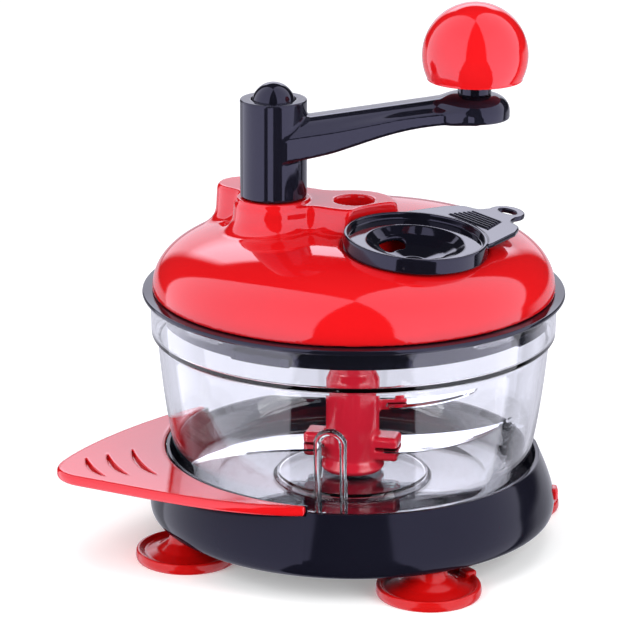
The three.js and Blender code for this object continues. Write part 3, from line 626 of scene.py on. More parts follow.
def make_handle():
    plan = Outline(handle_outline(), margin=4)
    grooves = [Outline(groove_outline(*groove), margin=3) for groove in GROOVES]
    middle, half = (HANDLE_BOTTOM + HANDLE_TOP) / 2, (HANDLE_TOP - HANDLE_BOTTOM) / 2

    def field(x, y, z):
        plate = round_common(plan(x, y), np.abs(z - middle) - half, 1.9)
        for groove in grooves:
            cutter = np.maximum(groove(x, y), HANDLE_TOP - 2.1 - z)
            plate = carve(plate, cutter, 0.3)
        return plate

    low = handle_low - 1.5
    high = handle_high + 1.5
    handle = moulded("side_handle_fine", field, low, high, 0.62)
    fit(handle, "base", ["side_handle"], RED)


FOOT_CIRCLE = 85.5
FOOT_START = 24.4  # degrees
FOOT_TAB_TURNS = (250, 160, 20, 35)  # degrees, where each cup's pull tab points
CUP_SECTION = [
    (-1, -9.0), (9, -9.6, 3), (22.2, -12.6, 3), (23.2, -13.0, 0.4), (24.1, -13.0, 0.5),
    (24.6, -11.2, 2.5), (24.1, -8.0, 1.0), (22.3, -8.1, 0.9), (20.6, -9.9, 1.8), (14.0, -7.8, 6),
    (9.0, -4.2, 4), (7.8, -0.3, 0.5), (3.8, -0.3, 0.4), (3.8, 2.9, 0.3), (5.2, 2.9, 0.3),
    (3.0, 6.4, 0.5), (-1, 6.4),
]


def foot_field(centre, turn):
    cup = Outline(filleted(CUP_SECTION), step=0.2, margin=3)

    def field(x, y, z):
        u, v = turned_back(x - centre[0], y - centre[1], turn)
        body = cup(np.hypot(u, v), z)
        tab = brick(u, v, z, (19.5, -3.4, -12.2), (25.6, 3.4, -6.4), 1.3)
        return round_union(body, tab, 0.8)

    return field


def make_feet():
    for i, tab_turn in enumerate(FOOT_TAB_TURNS):
        node = "suction_foot_%d" % (i + 1)
        low, high = extent(node)
        angle = math.radians(FOOT_START + 90 * i)
        centre = np.array([math.cos(angle), math.sin(angle)]) * FOOT_CIRCLE
        field = foot_field(centre, math.radians(tab_turn))
        foot = moulded(node + "_fine", field, low - 1.2, high + 1.2, 0.62)
        fit(foot, "base", [node], RUBBER)


BUTTON_LOW = 4.4
BUTTON_HIGH = 10.4


def make_button():
    low, high = extent("release_button")
    middle = (BUTTON_LOW + BUTTON_HIGH) / 2

    def field(x, y, z):
        nose = brick(x, y, z, (88.6, -4, BUTTON_LOW), (99.2, 4, BUTTON_HIGH), 1.5)
        flange = brick(x, y, z, (89.8, -8, 3), (92.6, 8, 10.9), 0.5)
        peg = np.maximum(np.hypot(y, z - middle) - 1.5, np.maximum(81 - x, x - 90))
        return np.minimum(round_union(nose, flange, 0.5), peg)

    button = moulded("release_button_fine", field, low - 1, high + 1, 0.45)
    fit(button, "release", ["release_button"], RED)


# ------------------------------------------------------------------ bowl
RIB_ANGLE = math.radians(263.5)
RIB_HALF = 5.8
RIB_TOP = 63.5
RIB_FOOT = 24.0
LUG_ANGLES = [43 + 90 * i for i in range(4)]
TICK_ANGLE = math.radians(322)


def bowl_outer():
    """The bowl's outside, from the middle of its underside to the collar's top."""
    under = [(0, 16.6), (35, 16.6, 1.5), (37.4, 13.8, 1.2), (66, 13.8, 12), (78, 16.4, 9), (84.2, 26.5)]
    wall = bezier((84.2, 26.5), (88.6, 44.0), (91.4, 68.0), (92.8, 85.6), count=110)
    step = [(92.8, 85.6), (93.2, 88.0, 2.2), (95.8, 89.8, 1.4), (COLLAR_RADIUS, 104)]
    rim = [(COLLAR_RADIUS, 104.2), (COLLAR_RADIUS, BOWL_TOP, 0.9), (COLLAR_RADIUS - 1.15, BOWL_TOP)]
    under, step = filleted(under, False, 8), filleted(step, False, 8)
    return np.concatenate([under, wall, step, filleted(rim, False, 5)])


def bowl_inner():
    """The bowl's inside, from the collar's top to the middle of its floor."""
    rim_inner = COLLAR_RADIUS - 2.3
    rim = [(COLLAR_RADIUS - 1.15, BOWL_TOP), (rim_inner, BOWL_TOP, 0.9), (rim_inner, 100)]
    step = [(rim_inner, 99.5), (rim_inner - 0.1, 91.6, 1.6), (90.9, 88.9, 1.6), (90.4, 85.8)]
    wall = bezier((90.4, 85.8), (89.0, 68.0), (86.4, 46.0), (81.6, 27.4), count=40)
    floor = [(81.6, 27.4), (78, 19.4, 7), (65.6, 16.2, 12), (38, 16.2, 1.2), (35.8, 19, 1.2), (0, 19)]
    step, floor = filleted(step, False, 8), filleted(floor, False, 8)
    return np.concatenate([filleted(rim, False, 5), step, wall, floor])


def bowl_angles():
    """Finer steps at the rib and at the measure marks."""
    coarse = np.radians(np.arange(0, 360, 1.8))
    rib = RIB_ANGLE + np.radians(np.arange(-6.4, 6.41, 0.26))
    ticks = TICK_ANGLE + np.radians(np.arange(-3.6, 3.61, 0.4))
    for part in (rib, ticks):
        half = (part.max() - part.min()) / 2
        coarse = coarse[np.abs(coarse - part.mean()) > half + 0.01]
    return np.sort(np.concatenate([coarse, rib, ticks]))


def rib_height(side, height):
    """Distance that the U-shaped rib stands out of the wall."""
    straight = np.abs(np.abs(side) - RIB_HALF)
    bend = np.abs(np.hypot(side, height - RIB_TOP) - RIB_HALF)
    away = np.where(height > RIB_TOP, bend, straight)
    crown = np.clip(1 - (away / 1.55) ** 2, 0, 1) ** 0.5
    return 1.9 * crown * np.clip((height - RIB_FOOT) / 6, 0, 1)


def tick_height(side, height):
    """Measure marks: short raised bars, every fourth one longer."""
    step = 3.2
    index = np.round((height - 38) / step)
    reach = np.where(np.mod(index, 4) == 0, 4.4, 2.6)
    inside = (np.abs(height - 38 - index * step) < 0.45) & (index >= 0) & (index <= 8)
    return 0.06 * (inside & (side > -1.2) & (side < reach))


def make_bowl():
    outer, inner = bowl_outer(), bowl_inner()
    plain = np.concatenate([outer, inner])

    def section(angle):
        outline = plain.copy()
        height = outer[:, 1]
        near_rib = abs(angle - RIB_ANGLE) < math.radians(7)
        near_ticks = abs(angle - TICK_ANGLE) < math.radians(4)
        if near_rib:
            side = (angle - RIB_ANGLE) * outer[:, 0]
            outline[: len(outer), 0] += np.where(height > 20, rib_height(side, height), 0)
        if near_ticks:
            side = (angle - TICK_ANGLE) * outer[:, 0]
            outline[: len(outer), 0] += tick_height(side, height)
        return outline

    bowl = turned("bowl_fine", section, bowl_angles(), closed=False)
    lugs = [lug(math.radians(angle)) for angle in LUG_ANGLES]
    fit(bowl, "bowl", ["bowl"], CLEAR)
    for piece in lugs:
        fit(piece, "bowl", ["bowl"], CLEAR)


def lug(angle):
    """One of the bars inside the collar that the lid's tabs turn under."""
    section = filleted([(91.2, 104, 0.5), (93.75, 104), (93.75, 106.4), (91.2, 106.4, 0.5)])
    angles = angle + np.radians(np.linspace(-7, 7, 21))
    radius, height = section.T
    points = np.array([np.stack([radius * math.cos(a), radius * math.sin(a), height], 1) for a in angles])
    count = points.shape[1]
    faces = grid_faces(len(points), count, False, True)
    flat = points.reshape(-1, 3)
    middle_first = len(flat)
    every = np.concatenate([flat, [points[0].mean(0), points[-1].mean(0)]])
    ring = np.arange(count)
    after = (ring + 1) % count
    last = (len(points) - 1) * count
    start_cap = np.stack([np.full(count, middle_first), ring, after, after], 1)
    end_cap = np.stack([np.full(count, middle_first + 1), last + after, last + ring, last + ring], 1)
    name = "bowl_lug_%d" % round(math.degrees(angle))
    piece = mesh_object(name, every, np.concatenate([faces, start_cap, end_cap]))
    weld(piece)
    return piece


# ------------------------------------------------------------------ blades
LOWER_BLADE = 32.0
UPPER_BLADE = 52.0
CARRIER_TURN = math.radians(-12)
UPPER_TURN = math.radians(6)


COLUMN_SECTION = [
    (3.5, 20, 0.4), (14.6, 20, 1.0), (15.6, 22, 0.8), (12.9, 26, 2.5), (12.8, 66, 3.0),
    (10.9, 70.5, 2.6), (10.6, 103.5, 1.0), (8.0, 104, 0.4), (8.0, 92, 0.4), (3.5, 88, 0.4),
]


def column_field():
    profile = Outline(filleted(COLUMN_SECTION), margin=4)

    def field(x, y, z):
        body = profile(np.hypot(x, y), z)
        for turn in (CARRIER_TURN, CARRIER_TURN + math.pi):
            u, v = turned_back(x, y, turn)
            arm = brick(u, v, z, (9, -7, LOWER_BLADE - 6), (23, 7, LOWER_BLADE + 6), 2.2)
            slot = brick(u, v, z, (12.4, -30, LOWER_BLADE - 0.9), (40, 30, LOWER_BLADE + 0.9), 0.1)
            body = carve(round_union(body, arm, 1.6), slot, 0.2)
        u, v = turned_back(x, y, UPPER_TURN)
        bar = brick(u, v, z, (9, -2.6, UPPER_BLADE - 2.6), (26, 2.6, UPPER_BLADE + 3), 1.2)
        nub = drum(u - 22.5, v, z, 2.2, UPPER_BLADE, UPPER_BLADE + 9, 1.0)
        slot = brick(u, v, z, (16, -9, UPPER_BLADE - 0.9), (40, 9, UPPER_BLADE + 0.9), 0.1)
        return carve(round_union(round_union(body, bar, 1.5), nub, 0.8), slot, 0.2)

    return field


def make_column():
    column = moulded("blade_column_fine", column_field(), column_low - 1.5, column_high + 1.5, 0.6)
    fit(column, "blades", ["blade_column"], COLUMN_RED)


def crescent(name, node, reach, width, height, root, turn):
    """A sickle blade with a flat back and a ground edge on its outer side."""
    thickness = 1.2
    tip = (reach * 0.985, width * 1.3)
    heel = (root, width * 0.46)
    sweep = [(root, -width * 0.52), (reach * 0.45, -width * 0.72), (reach * 0.84, width * 0.1)]
    outer = bezier(*sweep, tip, count=60)
    inner = bezier(tip, (reach * 0.8, width * 0.72), (reach * 0.45, width * 0.42), heel, count=60)
    outer = np.concatenate([outer, [tip]])
    inner = np.concatenate([[heel], inner[::-1]])
    across = np.concatenate([np.linspace(0, 0.22, 4), np.linspace(0.26, 1, 8)])
    bevel = np.clip(across / 0.22, 0, 1)
    top = height + thickness / 2 * (0.12 + 0.88 * bevel)
    bottom = np.full_like(across, height - thickness / 2)
    rows = []
    for a, b in zip(outer, inner):
        line = a + across[:, None] * (b - a)
        upper = np.column_stack([line, top])
        lower = np.column_stack([line, bottom])[::-1]
        rows.append(np.concatenate([upper, lower]))
    points = np.array(rows)
    c, s = math.cos(turn), math.sin(turn)
    flat = points.reshape(-1, 3)
    flat = np.column_stack([c * flat[:, 0] - s * flat[:, 1], s * flat[:, 0] + c * flat[:, 1], flat[:, 2]])
    count = points.shape[1]
    faces = grid_faces(len(rows), count, False, True)
    half = count // 2
    j = np.arange(half - 1)
    caps = []
    for row in (0, len(rows) - 1):
        start = row * count
        cap = np.stack([start + j, start + j + 1, start + count - 2 - j, start + count - 1 - j], 1)
        caps.append(cap if row == 0 else cap[:, ::-1])
    piece = mesh_object(name, flat, np.concatenate([faces, *caps])[:, ::-1])
    weld(piece)
    piece.data.set_sharp_from_angle(angle=math.radians(12))
    fit(piece, "blades", [node], BLADE)


def make_blades():
    crescent("blade_lower_right_fine", "blade_lower_right", 76, 23, LOWER_BLADE, 14.8, 0.0)
    crescent("blade_lower_left_fine", "blade_lower_left", 76, 23, LOWER_BLADE, 14.8, math.pi)
    crescent("blade_upper_fine", "blade_upper", 64, 13, UPPER_BLADE, 16.6, UPPER_TURN)


# ------------------------------------------------------------------ lid
DOME_TOP = 142.5
DOME_WALL = 2.4
DOME_LEAN = 0.015
LOBES = [(POST[0], POST[1], 18.5), (-53.0, 31.0, 11.5), (0.0, 0.0, 20.0)]
WEBS = [(0, 2, 12.5), (1, 2, 10.5), (0, 1, 9.0)]
WELL_RADIUS = 9.4
WELL_DEPTH = 9.0
SEPARATOR = np.array([28.3, -36.0, 146.2])
SEPARATOR_RADIUS = 33.2
SEAT_DEPTH = 7.6
FEED_RADIUS = 25.6
LEAN = Matrix.Rotation(math.radians(3.5), 4, "X") @ Matrix.Rotation(math.radians(3.4), 4, "Y")
SEAT = Matrix.Translation(SEPARATOR) @ LEAN


def dome_outline():
    shoulder = (DOME_RADIUS, DOME_BOTTOM + 33)
    side = bezier((DOME_RADIUS, DOME_BOTTOM), shoulder, (32, DOME_TOP), (0, DOME_TOP), count=700)
    return np.concatenate([side, [(-6, DOME_TOP), (-6, DOME_BOTTOM)]])


def boss_plan(x, y):
    """Distance to the three-lobed plan of the lid's boss."""
    away = None
    for cx, cy, radius in LOBES:
        lobe = np.hypot(x - cx, y - cy) - radius
        away = lobe if away is None else round_union(away, lobe, 7.0)
    for first, second, half in WEBS:
        away = np.minimum(away, round_union(away, link(x, y, LOBES[first], LOBES[second], half), 5.0))
    return away


def in_seat(x, y, z):
    """Coordinates in the separator's leaning seat."""
    back = np.array(LEAN.to_3x3()).T
    dx, dy, dz = x - SEPARATOR[0], y - SEPARATOR[1], z - SEPARATOR[2]
    return tuple(back[i][0] * dx + back[i][1] * dy + back[i][2] * dz for i in range(3))


def lid_field():
    dome = Outline(dome_outline(), step=0.25, margin=14)
    plate_top = plate_high[2]

    def field(x, y, z):
        rise = DOME_LEAN * x / (DOME_TOP - DOME_BOTTOM)
        level = (z + rise * DOME_BOTTOM) / (1 + rise)
        outer = dome(np.hypot(x, y), level)
        plan = boss_plan(x, y) - 0.09 * (BOSS_TOP - z)
        boss = round_common(plan, z - BOSS_TOP, 2.8)
        boss = np.maximum(boss, DOME_BOTTOM + 14 - z)
        body = round_union(outer, boss, 6.5)
        foot = drum(x - POST[0], y - POST[1], z, 17.4, BOSS_TOP - 4, BOSS_TOP + 1.4, 0.9)
        body = round_union(body, foot, 0.6)
        u, v, w = in_seat(x, y, z)
        seat_block = drum(u, v, w, SEPARATOR_RADIUS + 3.2, -SEAT_DEPTH - 2.4, 14, 0.5)
        tube = np.hypot(x - SEPARATOR[0], y - SEPARATOR[1]) - FEED_RADIUS - 2
        tube = np.maximum(tube, plate_top + 0.3 - z)
        post_hub = np.hypot(x - POST[0], y - POST[1]) - 11
        hub = np.minimum(post_hub, np.hypot(x, y) - 9)
        hub = np.maximum(hub, 128.2 - z)
        hollow = outer + DOME_WALL
        for part in (seat_block, tube, hub):
            hollow = np.maximum(hollow, -part)
        shell = carve(np.maximum(body, DOME_BOTTOM - z), hollow, 0.4)
        well = drum(x, y, z, WELL_RADIUS, BOSS_TOP - WELL_DEPTH, BOSS_TOP + 20, 1.2)
        shell = carve(shell, well, 1.1)
        shaft = np.hypot(x - POST[0], y - POST[1]) - 7.8
        pivot = np.maximum(np.hypot(x, y) - 4.3, z - 138)
        shell = np.maximum(shell, -np.minimum(shaft, pivot))
        bush_seat = drum(x - POST[0], y - POST[1], z, 10.4, BOSS_TOP + 0.2, BOSS_TOP + 8, 0.2)
        shell = carve(shell, bush_seat, 0.2)
        recess = drum(u, v, w, SEPARATOR_RADIUS + 1.2, -SEAT_DEPTH, 40, 0.8)
        shell = carve(shell, recess, 1.0)
        feed = np.hypot(x - SEPARATOR[0], y - SEPARATOR[1]) - FEED_RADIUS
        return carve(shell, feed, 0.5)

    return field


def make_lid_shell():
    low = np.array([-DOME_RADIUS - 2, -DOME_RADIUS - 2, DOME_BOTTOM - 2])
    high = np.array([DOME_RADIUS + 2, DOME_RADIUS + 2, BOSS_TOP + 3])
    shell = moulded("lid_shell_fine", lid_field(), low, high, 0.85)
    fit(shell, "lid", ["lid_shell"], RED)


def make_seal():
    low, high, radius = bead_low[2], bead_high[2], bead_high[1]
    section = filleted(
        [
            (91, low, 0.3),
            (radius - 0.6, low, 0.8),
            (radius, low + 1.0, 0.9),
            (radius - 0.2, high - 0.3, 1.0),
            (96.5, high - 0.1, 0.8),
            (91, high, 0.3),
        ]
    )
    seal = turned("lid_seal_ring_fine", section, sides=256)
    fit(flat_look(seal), "seal", ["lid_seal_ring"], BLACK)


def plate_section(tab):
    """The lid plate's section; tab is 1 at a bayonet tab."""
    top, bottom, low = plate_high[2], plate_high[2] - 2.3, plate_low[2]
    reach = 90.6 + 2.5 * tab
    return np.array(
        [
            (0, bottom),
            (88.4, bottom),
            (88.4, low),
            (90.2, low),
            (reach - 0.3 * tab, low),
            (reach, low + 0.3),
            (reach, 103.1),
            (reach - 0.3 * tab, 103.4),
            (90.6, 103.4),
            (90.6, bottom),
            (91.7, bottom),
            (91.7, top),
            (0, top),
        ]
    )


def make_lid_plate():
    tab_middles = [63, 153, 243, 333]
    edges = [middle + side for middle in tab_middles for side in (-9.03, -9, 9, 9.03)]
    even = [a for a in np.arange(0, 360, 1.5) if min(abs(a - edge) for edge in edges) > 0.4]
    with_tab, plain = plate_section(1.0), plate_section(0.0)

    def section(angle):
        degrees = math.degrees(angle)
        return with_tab if min(abs(degrees - middle) for middle in tab_middles) < 9.01 else plain

    angles = np.radians(sorted(even + edges))
    ring = turned("lid_plate_fine", section, angles, closed=False)
    fit(flat_look(ring), "lid", ["lid_plate"], BLACK)


# ------------------------------------------------------------------ crank
POST_RADIUS = 15.7
POST_TOP = 201.4
ARM_HALF = 14.2
ARM_END_RADIUS = 16.5
ARM_END_BOTTOM = 195.5
CAP_RADIUS = 10.1


def arm_outline():
    """The arm seen from the side: along the arm and up."""
    end, top, bottom = CRANK_LENGTH + 2, arm_high[2], ARM_END_BOTTOM
    return np.concatenate(
        [
            [(2, 191.6), (2, 173.4)],
            bezier((2, 173.4), (16, 175.2), (30, 179.6), count=60),
            bezier((30, 179.6), (50, 186.6), (64, 194.6), (end, bottom), count=160),
            [(end, bottom), (end, top)],
            bezier((end, top), (84, top - 0.2), (80, top - 1.2), (72, top - 2.7), count=60),
            [(72, top - 2.7)],
        ]
    )


def crank_field():
    side = Outline(arm_outline(), margin=6)
    top = arm_high[2]

    def field(x, y, z):
        u, v = turned_back(x - POST[0], y - POST[1], CRANK_TURN)
        post = drum(u, v, z, POST_RADIUS, arm_low[2], POST_TOP, 0.7)
        ridge = np.interp(u, [0, 30, 72, 95], [191, 196.2, 203.9, top])
        keel = np.interp(u, [0, 30, 60, 95], [173, 179.6, 191, ARM_END_BOTTOM])
        lift = np.clip((z - keel) / np.maximum(ridge - keel, 1) * 2 - 0.6, 0, 1)
        edge = 1.0 + 11.0 * lift * lift * (3 - 2 * lift)
        arm = round_common(side(u, z), np.abs(v) - ARM_HALF, edge)
        end_low = drum(u - CRANK_LENGTH, v, z, ARM_END_RADIUS, ARM_END_BOTTOM, top + 30, 1.0)
        end = round_common(end_low, z - top, 8.0)
        body = round_union(arm, end, 3.0)
        body = round_union(post, body, 1.2)
        recess = drum(u, v, z, CAP_RADIUS + 0.4, 190.6, top + 20, 0.3)
        socket = drum(u - CRANK_LENGTH, v, z, 6.3, 201, top + 20, 0.2)
        under = drum(u - CRANK_LENGTH, v, z, 5.4, 150, 198.3, 0.2)
        bore = np.maximum(np.hypot(u, v) - 5.5, z - 186)
        for hole in (recess, socket, under, bore):
            body = carve(body, hole, 0.3)
        return body

    return field


def make_crank():
    arm = moulded("crank_arm_fine", crank_field(), arm_low - 2, arm_high + 2, 0.6)
    fit(arm, "crank", ["crank_arm"], BLACK)
    cap_low, cap_high = extent("crank_cap")
    centre = cap_high[2] - CAP_RADIUS
    ball = arc(CAP_RADIUS, 90, 0, (0, centre), 28)
    stem = filleted([(CAP_RADIUS, centre - 0.1), (CAP_RADIUS, cap_low[2], 1.2), (0, cap_low[2])], False)
    cap = turned("crank_cap_fine", np.concatenate([ball, stem]), centre=POST[:2], closed=False, sides=96)
    fit(cap, "crank", ["crank_cap"], BLACK)
    spindle_low, spindle_high = extent("knob_spindle")
    bottom, top, seat = spindle_low[2], spindle_high[2], arm_high[2] + 0.3
    section = filleted(
        [
            (0, bottom),
            (6, bottom, 0.3),
            (6, seat, 0.1),
            (7.8, seat, 0.6),
            (7.7, seat + 5.5, 0.8),
            (6, knob_low[2] + 1.2, 0.3),
            (6, top - 0.6, 0.4),
            (0, top),
        ],
        False,
    )
    spindle = turned("knob_spindle_fine", section, centre=TIP[:2], closed=False, sides=96)
    fit(flat_look(spindle), "crank", ["knob_spindle"], BLACK)


def make_knob():
    radius = (knob_high[0] - knob_low[0]) / 2
    centre = knob_high[2] - radius
    bottom = knob_low[2]
    first = math.degrees(math.asin((bottom + 0.9 - centre) / radius))
    ball = arc(radius, first, 90, (0, centre), 80)
    seam = np.exp(-(((ball[:, 1] - centre + 3.5) / 0.35) ** 2))
    ball[:, 0] -= 0.06 * seam
    bore = [(6.3, 234), (6.3, bottom + 1.6), (8.2, bottom + 1.6), (8.2, bottom, 0.4)]
    mouth = filleted([*bore, (22.1, bottom, 0.9), tuple(ball[0])], False, 8)
    section = np.concatenate([[(0, 234.2)], mouth, ball])
    knob = turned("knob_fine", section, centre=TIP[:2], closed=False, sides=192)
    fit(flat_look(knob), "knob", ["knob"], RED)


# ------------------------------------------------------------------ egg separator
HANDLE_TURN = math.radians(44.5)


PAN_SECTION = [
    (-6, -13.8), (5, -13.7, 5), (15, -11.0, 8), (20.4, -7.6, 5), (23.9, -4.8, 0.6), (31.6, -4.8, 0.5),
    (32.0, -7.2, 0.3), (33.6, -7.2, 0.5), (33.2, 0, 0.7), (31.6, 0, 0.6), (31.2, -3.2, 0.7),
    (23.0, -3.2, 1.0), (19.2, -6.4, 5), (13.5, -9.7, 8), (5, -12.0, 5), (-6, -12.1),
]


def separator_field():
    pan = Outline(filleted(PAN_SECTION), step=0.15, margin=4)
    plan = Outline(
        np.concatenate(
            [
                [(17, -28), (24, -27)],
                filleted([(24, -27), (43, -22.6), (50.8, -18.2, 7), (52.6, -10.2, 6), (58.4, -8.4)], False),
                arc(8.8, -106, 106, (61, 0), 60),
                filleted([(58.4, 8.4), (52.6, 10.2, 6), (50.8, 18.2, 7), (43, 22.6), (24, 27)], False),
                [(17, 28)],
            ]
        ),
        margin=4,
    )

    def field(x, y, z):
        away = np.hypot(x, y)
        body = pan(away, z)
        u, v = turned_back(x, y, HANDLE_TURN)
        blade = round_common(plan(u, v), np.abs(z + 1.6) - 1.2, 0.7)
        hang = np.hypot((u - 62) / 3.2, (v / 5.0)) - 1
        blade = carve(blade, hang * 3.4, 0.5)
        blade = np.maximum(blade, 31.9 - away)
        for i in range(6):
            half = 12.6 - 0.7 * i
            bar = brick(u, v, z, (35 + 2.3 * i, -half, -1.4), (36.2 + 2.3 * i, half, 0.35), 0.45)
            blade = round_union(blade, bar, 0.25)
        body = round_union(body, blade, 0.5)
        angle = np.degrees(np.arctan2(y, x)) % 360
        slot = round_common(np.abs(away - 14.5) - 3.5, (np.abs(angle - 136.5) - 30.5) * 0.253, 3.3)
        return carve(body, slot, 0.4)

    return field


def make_separator():
    low = np.array([-35.5, -35.5, -18.0])
    high = np.array([60.0, 60.0, 1.6])
    piece = moulded("egg_separator_fine", separator_field(), low, high, 0.5, SEAT)
    fit(piece, "separator", ["egg_separator"], BLACK)


# ------------------------------------------------------------------ room, light and camera
FLOOR_GLOW = 0.24
BOX_LEVEL = 2.1
DROP_LOW = 1.4
DROP_HIGH = 3.3
TABLE_LEVEL = 0.8
ROOM_LEVEL = 0.03
FILL_LEVEL = 0.5
THROUGH_LEVEL = 1.35
THROUGH_LOW = 0.28
PANEL_LEVEL = 1.7
REFLECTED_TINT = (0.88, 0.88, 1.0)


def make_floor():
    size = 6000.0
    level = extent("suction_foot_1")[0][2] - 0.05
    points = [(-size, -size, level), (size, -size, level), (size, size, level), (-size, size, level)]
    floor = mesh_object("floor", points, [(0, 1, 2, 3)], sharp=None)
    material, tree, shader = node_tree("pale_floor")
    tint = blend_colour(tree, remap(tree, noise(tree, 3.0), 0, 1), (0.90, 0.90, 0.905), (0.92, 0.92, 0.925))
    feed(tree, shader, {"Base Color": tint, "Roughness": 0.9, "Specular IOR Level": 0.0})
    feed(tree, shader, {"Emission Color": (1.0, 1.0, 1.0, 1.0), "Emission Strength": FLOOR_GLOW})
    floor.data.materials.append(material)
    floor.visible_glossy = False
    floor.visible_transmission = False


def band(tree, value, low, high, soft):
    """1 where value lies between low and high, with soft ends."""
    rising = remap(tree, value, 0, 1, low - soft, low + soft)
    falling = remap(tree, value, 1, 0, high - soft, high + soft)
    return math_node(tree, "MULTIPLY", rising, falling)


def mix_value(tree, share, first, second):
    """A number that goes from the first to the second as the share goes from 0 to 1."""
    return add(tree, "Mix", {0: share, 2: first, 3: second}).outputs[0]


def background(tree, colour, strength):
    return add(tree, "Background", {"Color": (*colour, 1.0), "Strength": strength}).outputs[0]


def make_world():
    """A white surround; reflections see two tall soft boxes, a white backdrop and a dark room."""
    world = bpy.data.worlds.new("studio")
    bpy.context.scene.world = world
    world.use_nodes = True
    tree = world.node_tree
    tree.nodes.clear()
    rad = math.radians
    place = add(tree, "TexCoord", {}).outputs["Generated"]
    x, y, z = add(tree, "SeparateXYZ", {0: place}).outputs
    azimuth = math_node(tree, "ARCTAN2", x, math_node(tree, "MULTIPLY", y, -1.0))
    away = math_node(tree, "ABSOLUTE", azimuth)
    height = math_node(tree, "ARCSINE", z)
    above = math_node(tree, "MAXIMUM", height, 0.0)
    below = math_node(tree, "MAXIMUM", math_node(tree, "MULTIPLY", height, -1.0), 0.0)

    inner_edge = math_node(tree, "ADD", math_node(tree, "MULTIPLY", below, 0.55), rad(22.5))
    right_edge = math_node(tree, "ADD", math_node(tree, "MULTIPLY", above, 0.8), rad(108))
    left_edge = math_node(tree, "ADD", math_node(tree, "MULTIPLY", above, 0.2), rad(132))
    outer_edge = mix_value(tree, math_node(tree, "LESS_THAN", azimuth, 0.0), right_edge, left_edge)
    inner = remap(tree, math_node(tree, "SUBTRACT", away, inner_edge), 0, 1, rad(-0.8), rad(0.8))
    outer = remap(tree, math_node(tree, "SUBTRACT", outer_edge, away), 0, 1, 0.0, rad(1.6))
    fade = remap(tree, height, BOX_LEVEL, BOX_LEVEL * 0.72, rad(-20), rad(80))
    boxes = math_node(tree, "MULTIPLY", math_node(tree, "MULTIPLY", inner, outer), fade)

    behind = remap(tree, away, 0, 1, rad(156), rad(161))
    drop_level = remap(tree, height, DROP_LOW, DROP_HIGH, rad(17.5), rad(23))
    drop = math_node(tree, "MULTIPLY", behind, band(tree, height, rad(-2), rad(34.5), rad(1.2)))
    drop = math_node(tree, "MULTIPLY", drop, drop_level)
    past = remap(tree, away, 0, TABLE_LEVEL, rad(112), rad(126))
    table = math_node(tree, "MULTIPLY", past, remap(tree, height, 1, 0, rad(-6), rad(-2)))
    lit = math_node(tree, "ADD", boxes, ROOM_LEVEL)
    reflected = math_node(tree, "MAXIMUM", lit, math_node(tree, "ADD", drop, table))
    mirrored = background(tree, REFLECTED_TINT, reflected)

    far_side = remap(tree, away, 0, THROUGH_LEVEL, rad(60), rad(90))
    low_part = remap(tree, height, 1.0, 0.7, rad(35), rad(65))
    white = math_node(tree, "MULTIPLY", far_side, low_part)
    glow = math_node(tree, "MULTIPLY", behind, band(tree, height, rad(6), rad(36), rad(2)))
    glow = math_node(tree, "MULTIPLY", glow, 2.75)
    seen_through = math_node(tree, "MAXIMUM", math_node(tree, "MAXIMUM", white, glow), lit)
    seen_through = math_node(tree, "MAXIMUM", seen_through, THROUGH_LOW)
    through = background(tree, (0.97, 0.97, 1.0), seen_through)
    plain = background(tree, (1.0, 1.0, 1.0), 1.0)

    path = add(tree, "LightPath", {}).outputs
    shader = background(tree, (0.97, 0.98, 1.0), FILL_LEVEL)
    seen_by = {"Is Transmission Ray": through, "Is Glossy Ray": mirrored, "Is Camera Ray": plain}
    for kind, seen in seen_by.items():
        shader = add(tree, "MixShader", {"Fac": path[kind], 1: shader, 2: seen}).outputs[0]
    add(tree, "OutputWorld", {"Surface": shader})


def soft_light(name, place, target, size, power):
    light = bpy.data.lights.new(name, "AREA")
    light.shape = "RECTANGLE"
    light.size, light.size_y = size
    light.energy = power
    lamp = bpy.data.objects.new(name, light)
    lamp.location = place
    lamp.rotation_euler = (Vector(target) - Vector(place)).to_track_quat("-Z", "Y").to_euler()
    lamp.visible_glossy = False
    lamp.visible_camera = False
    bpy.context.scene.collection.objects.link(lamp)


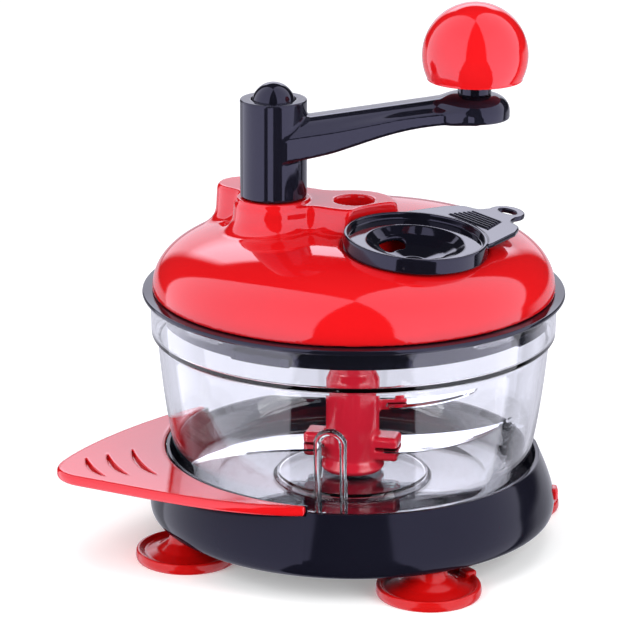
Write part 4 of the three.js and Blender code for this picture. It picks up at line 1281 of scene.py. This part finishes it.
def make_arm_panel():
    """A low, far panel that only the crank arm reflects; it brightens the arm's front face."""
    far, low, high, left, right = -90.0, -33.0, 0.6, -30.0, 0.0
    width, tall = right - left, high - low
    light = bpy.data.lights.new("arm_panel", "AREA")
    light.shape = "RECTANGLE"
    light.size, light.size_y = width, tall
    light.color = REFLECTED_TINT
    light.energy = 4 * PANEL_LEVEL * width * tall
    lamp = bpy.data.objects.new("arm_panel", light)
    lamp.location = ((left + right) / 2, far, (low + high) / 2)
    lamp.rotation_euler = (math.radians(90), 0, 0)
    lamp.visible_camera = False
    lamp.visible_diffuse = False
    lamp.visible_transmission = False
    bpy.context.scene.collection.objects.link(lamp)
    receivers = bpy.data.collections.new("arm_only")
    receivers.objects.link(bpy.data.objects["crank_arm_fine"])
    lamp.light_linking.receiver_collection = receivers


def make_lights():
    middle = (0.0, 0.0, 0.1)
    soft_light("left_box", (-1.3, -1.1, 0.9), middle, (1.2, 1.6), 26)
    soft_light("right_box", (1.3, -1.0, 0.9), middle, (1.2, 1.6), 26)
    soft_light("top_box", (0.0, 0.3, 1.8), middle, (1.6, 1.6), 16)


CAMERA_PLACE = (-0.0034, -1.3913, 0.53115)
CAMERA_TURN = (-0.0122, 0.3023, 0.0032)  # yaw, pitch and roll in radians
LENS = 176.66


def make_camera():
    """A long lens, a little above the object, looking down at it."""
    yaw, pitch, roll = CAMERA_TURN
    ahead = Vector((math.sin(yaw) * math.cos(pitch), math.cos(yaw) * math.cos(pitch), -math.sin(pitch)))
    right = Vector((math.cos(yaw), -math.sin(yaw), 0))
    up = right.cross(ahead)
    across = right * math.cos(roll) + up * math.sin(roll)
    upward = -right * math.sin(roll) + up * math.cos(roll)
    turn = Matrix((across, upward, -ahead)).transposed().to_4x4()
    data = bpy.data.cameras.new("camera")
    data.sensor_width = 36.0
    data.lens = LENS
    camera = bpy.data.objects.new("camera", data)
    camera.matrix_world = Matrix.Translation(CAMERA_PLACE) @ turn
    bpy.context.scene.collection.objects.link(camera)
    bpy.context.scene.camera = camera


def set_look():
    scene = bpy.context.scene
    scene.view_settings.view_transform = "Standard"
    scene.view_settings.look = "None"
    scene.cycles.max_bounces = 14
    scene.cycles.transmission_bounces = 14
    scene.cycles.transparent_max_bounces = 16
    scene.cycles.caustics_refractive = False
    scene.cycles.caustics_reflective = False


finish_cad_nodes()
make_base()
make_handle()
make_feet()
make_button()
make_bowl()
make_column()
make_blades()
make_lid_shell()
make_seal()
make_lid_plate()
make_crank()
make_knob()
make_separator()
make_floor()
make_world()
make_arm_panel()
make_lights()
make_camera()
set_look()
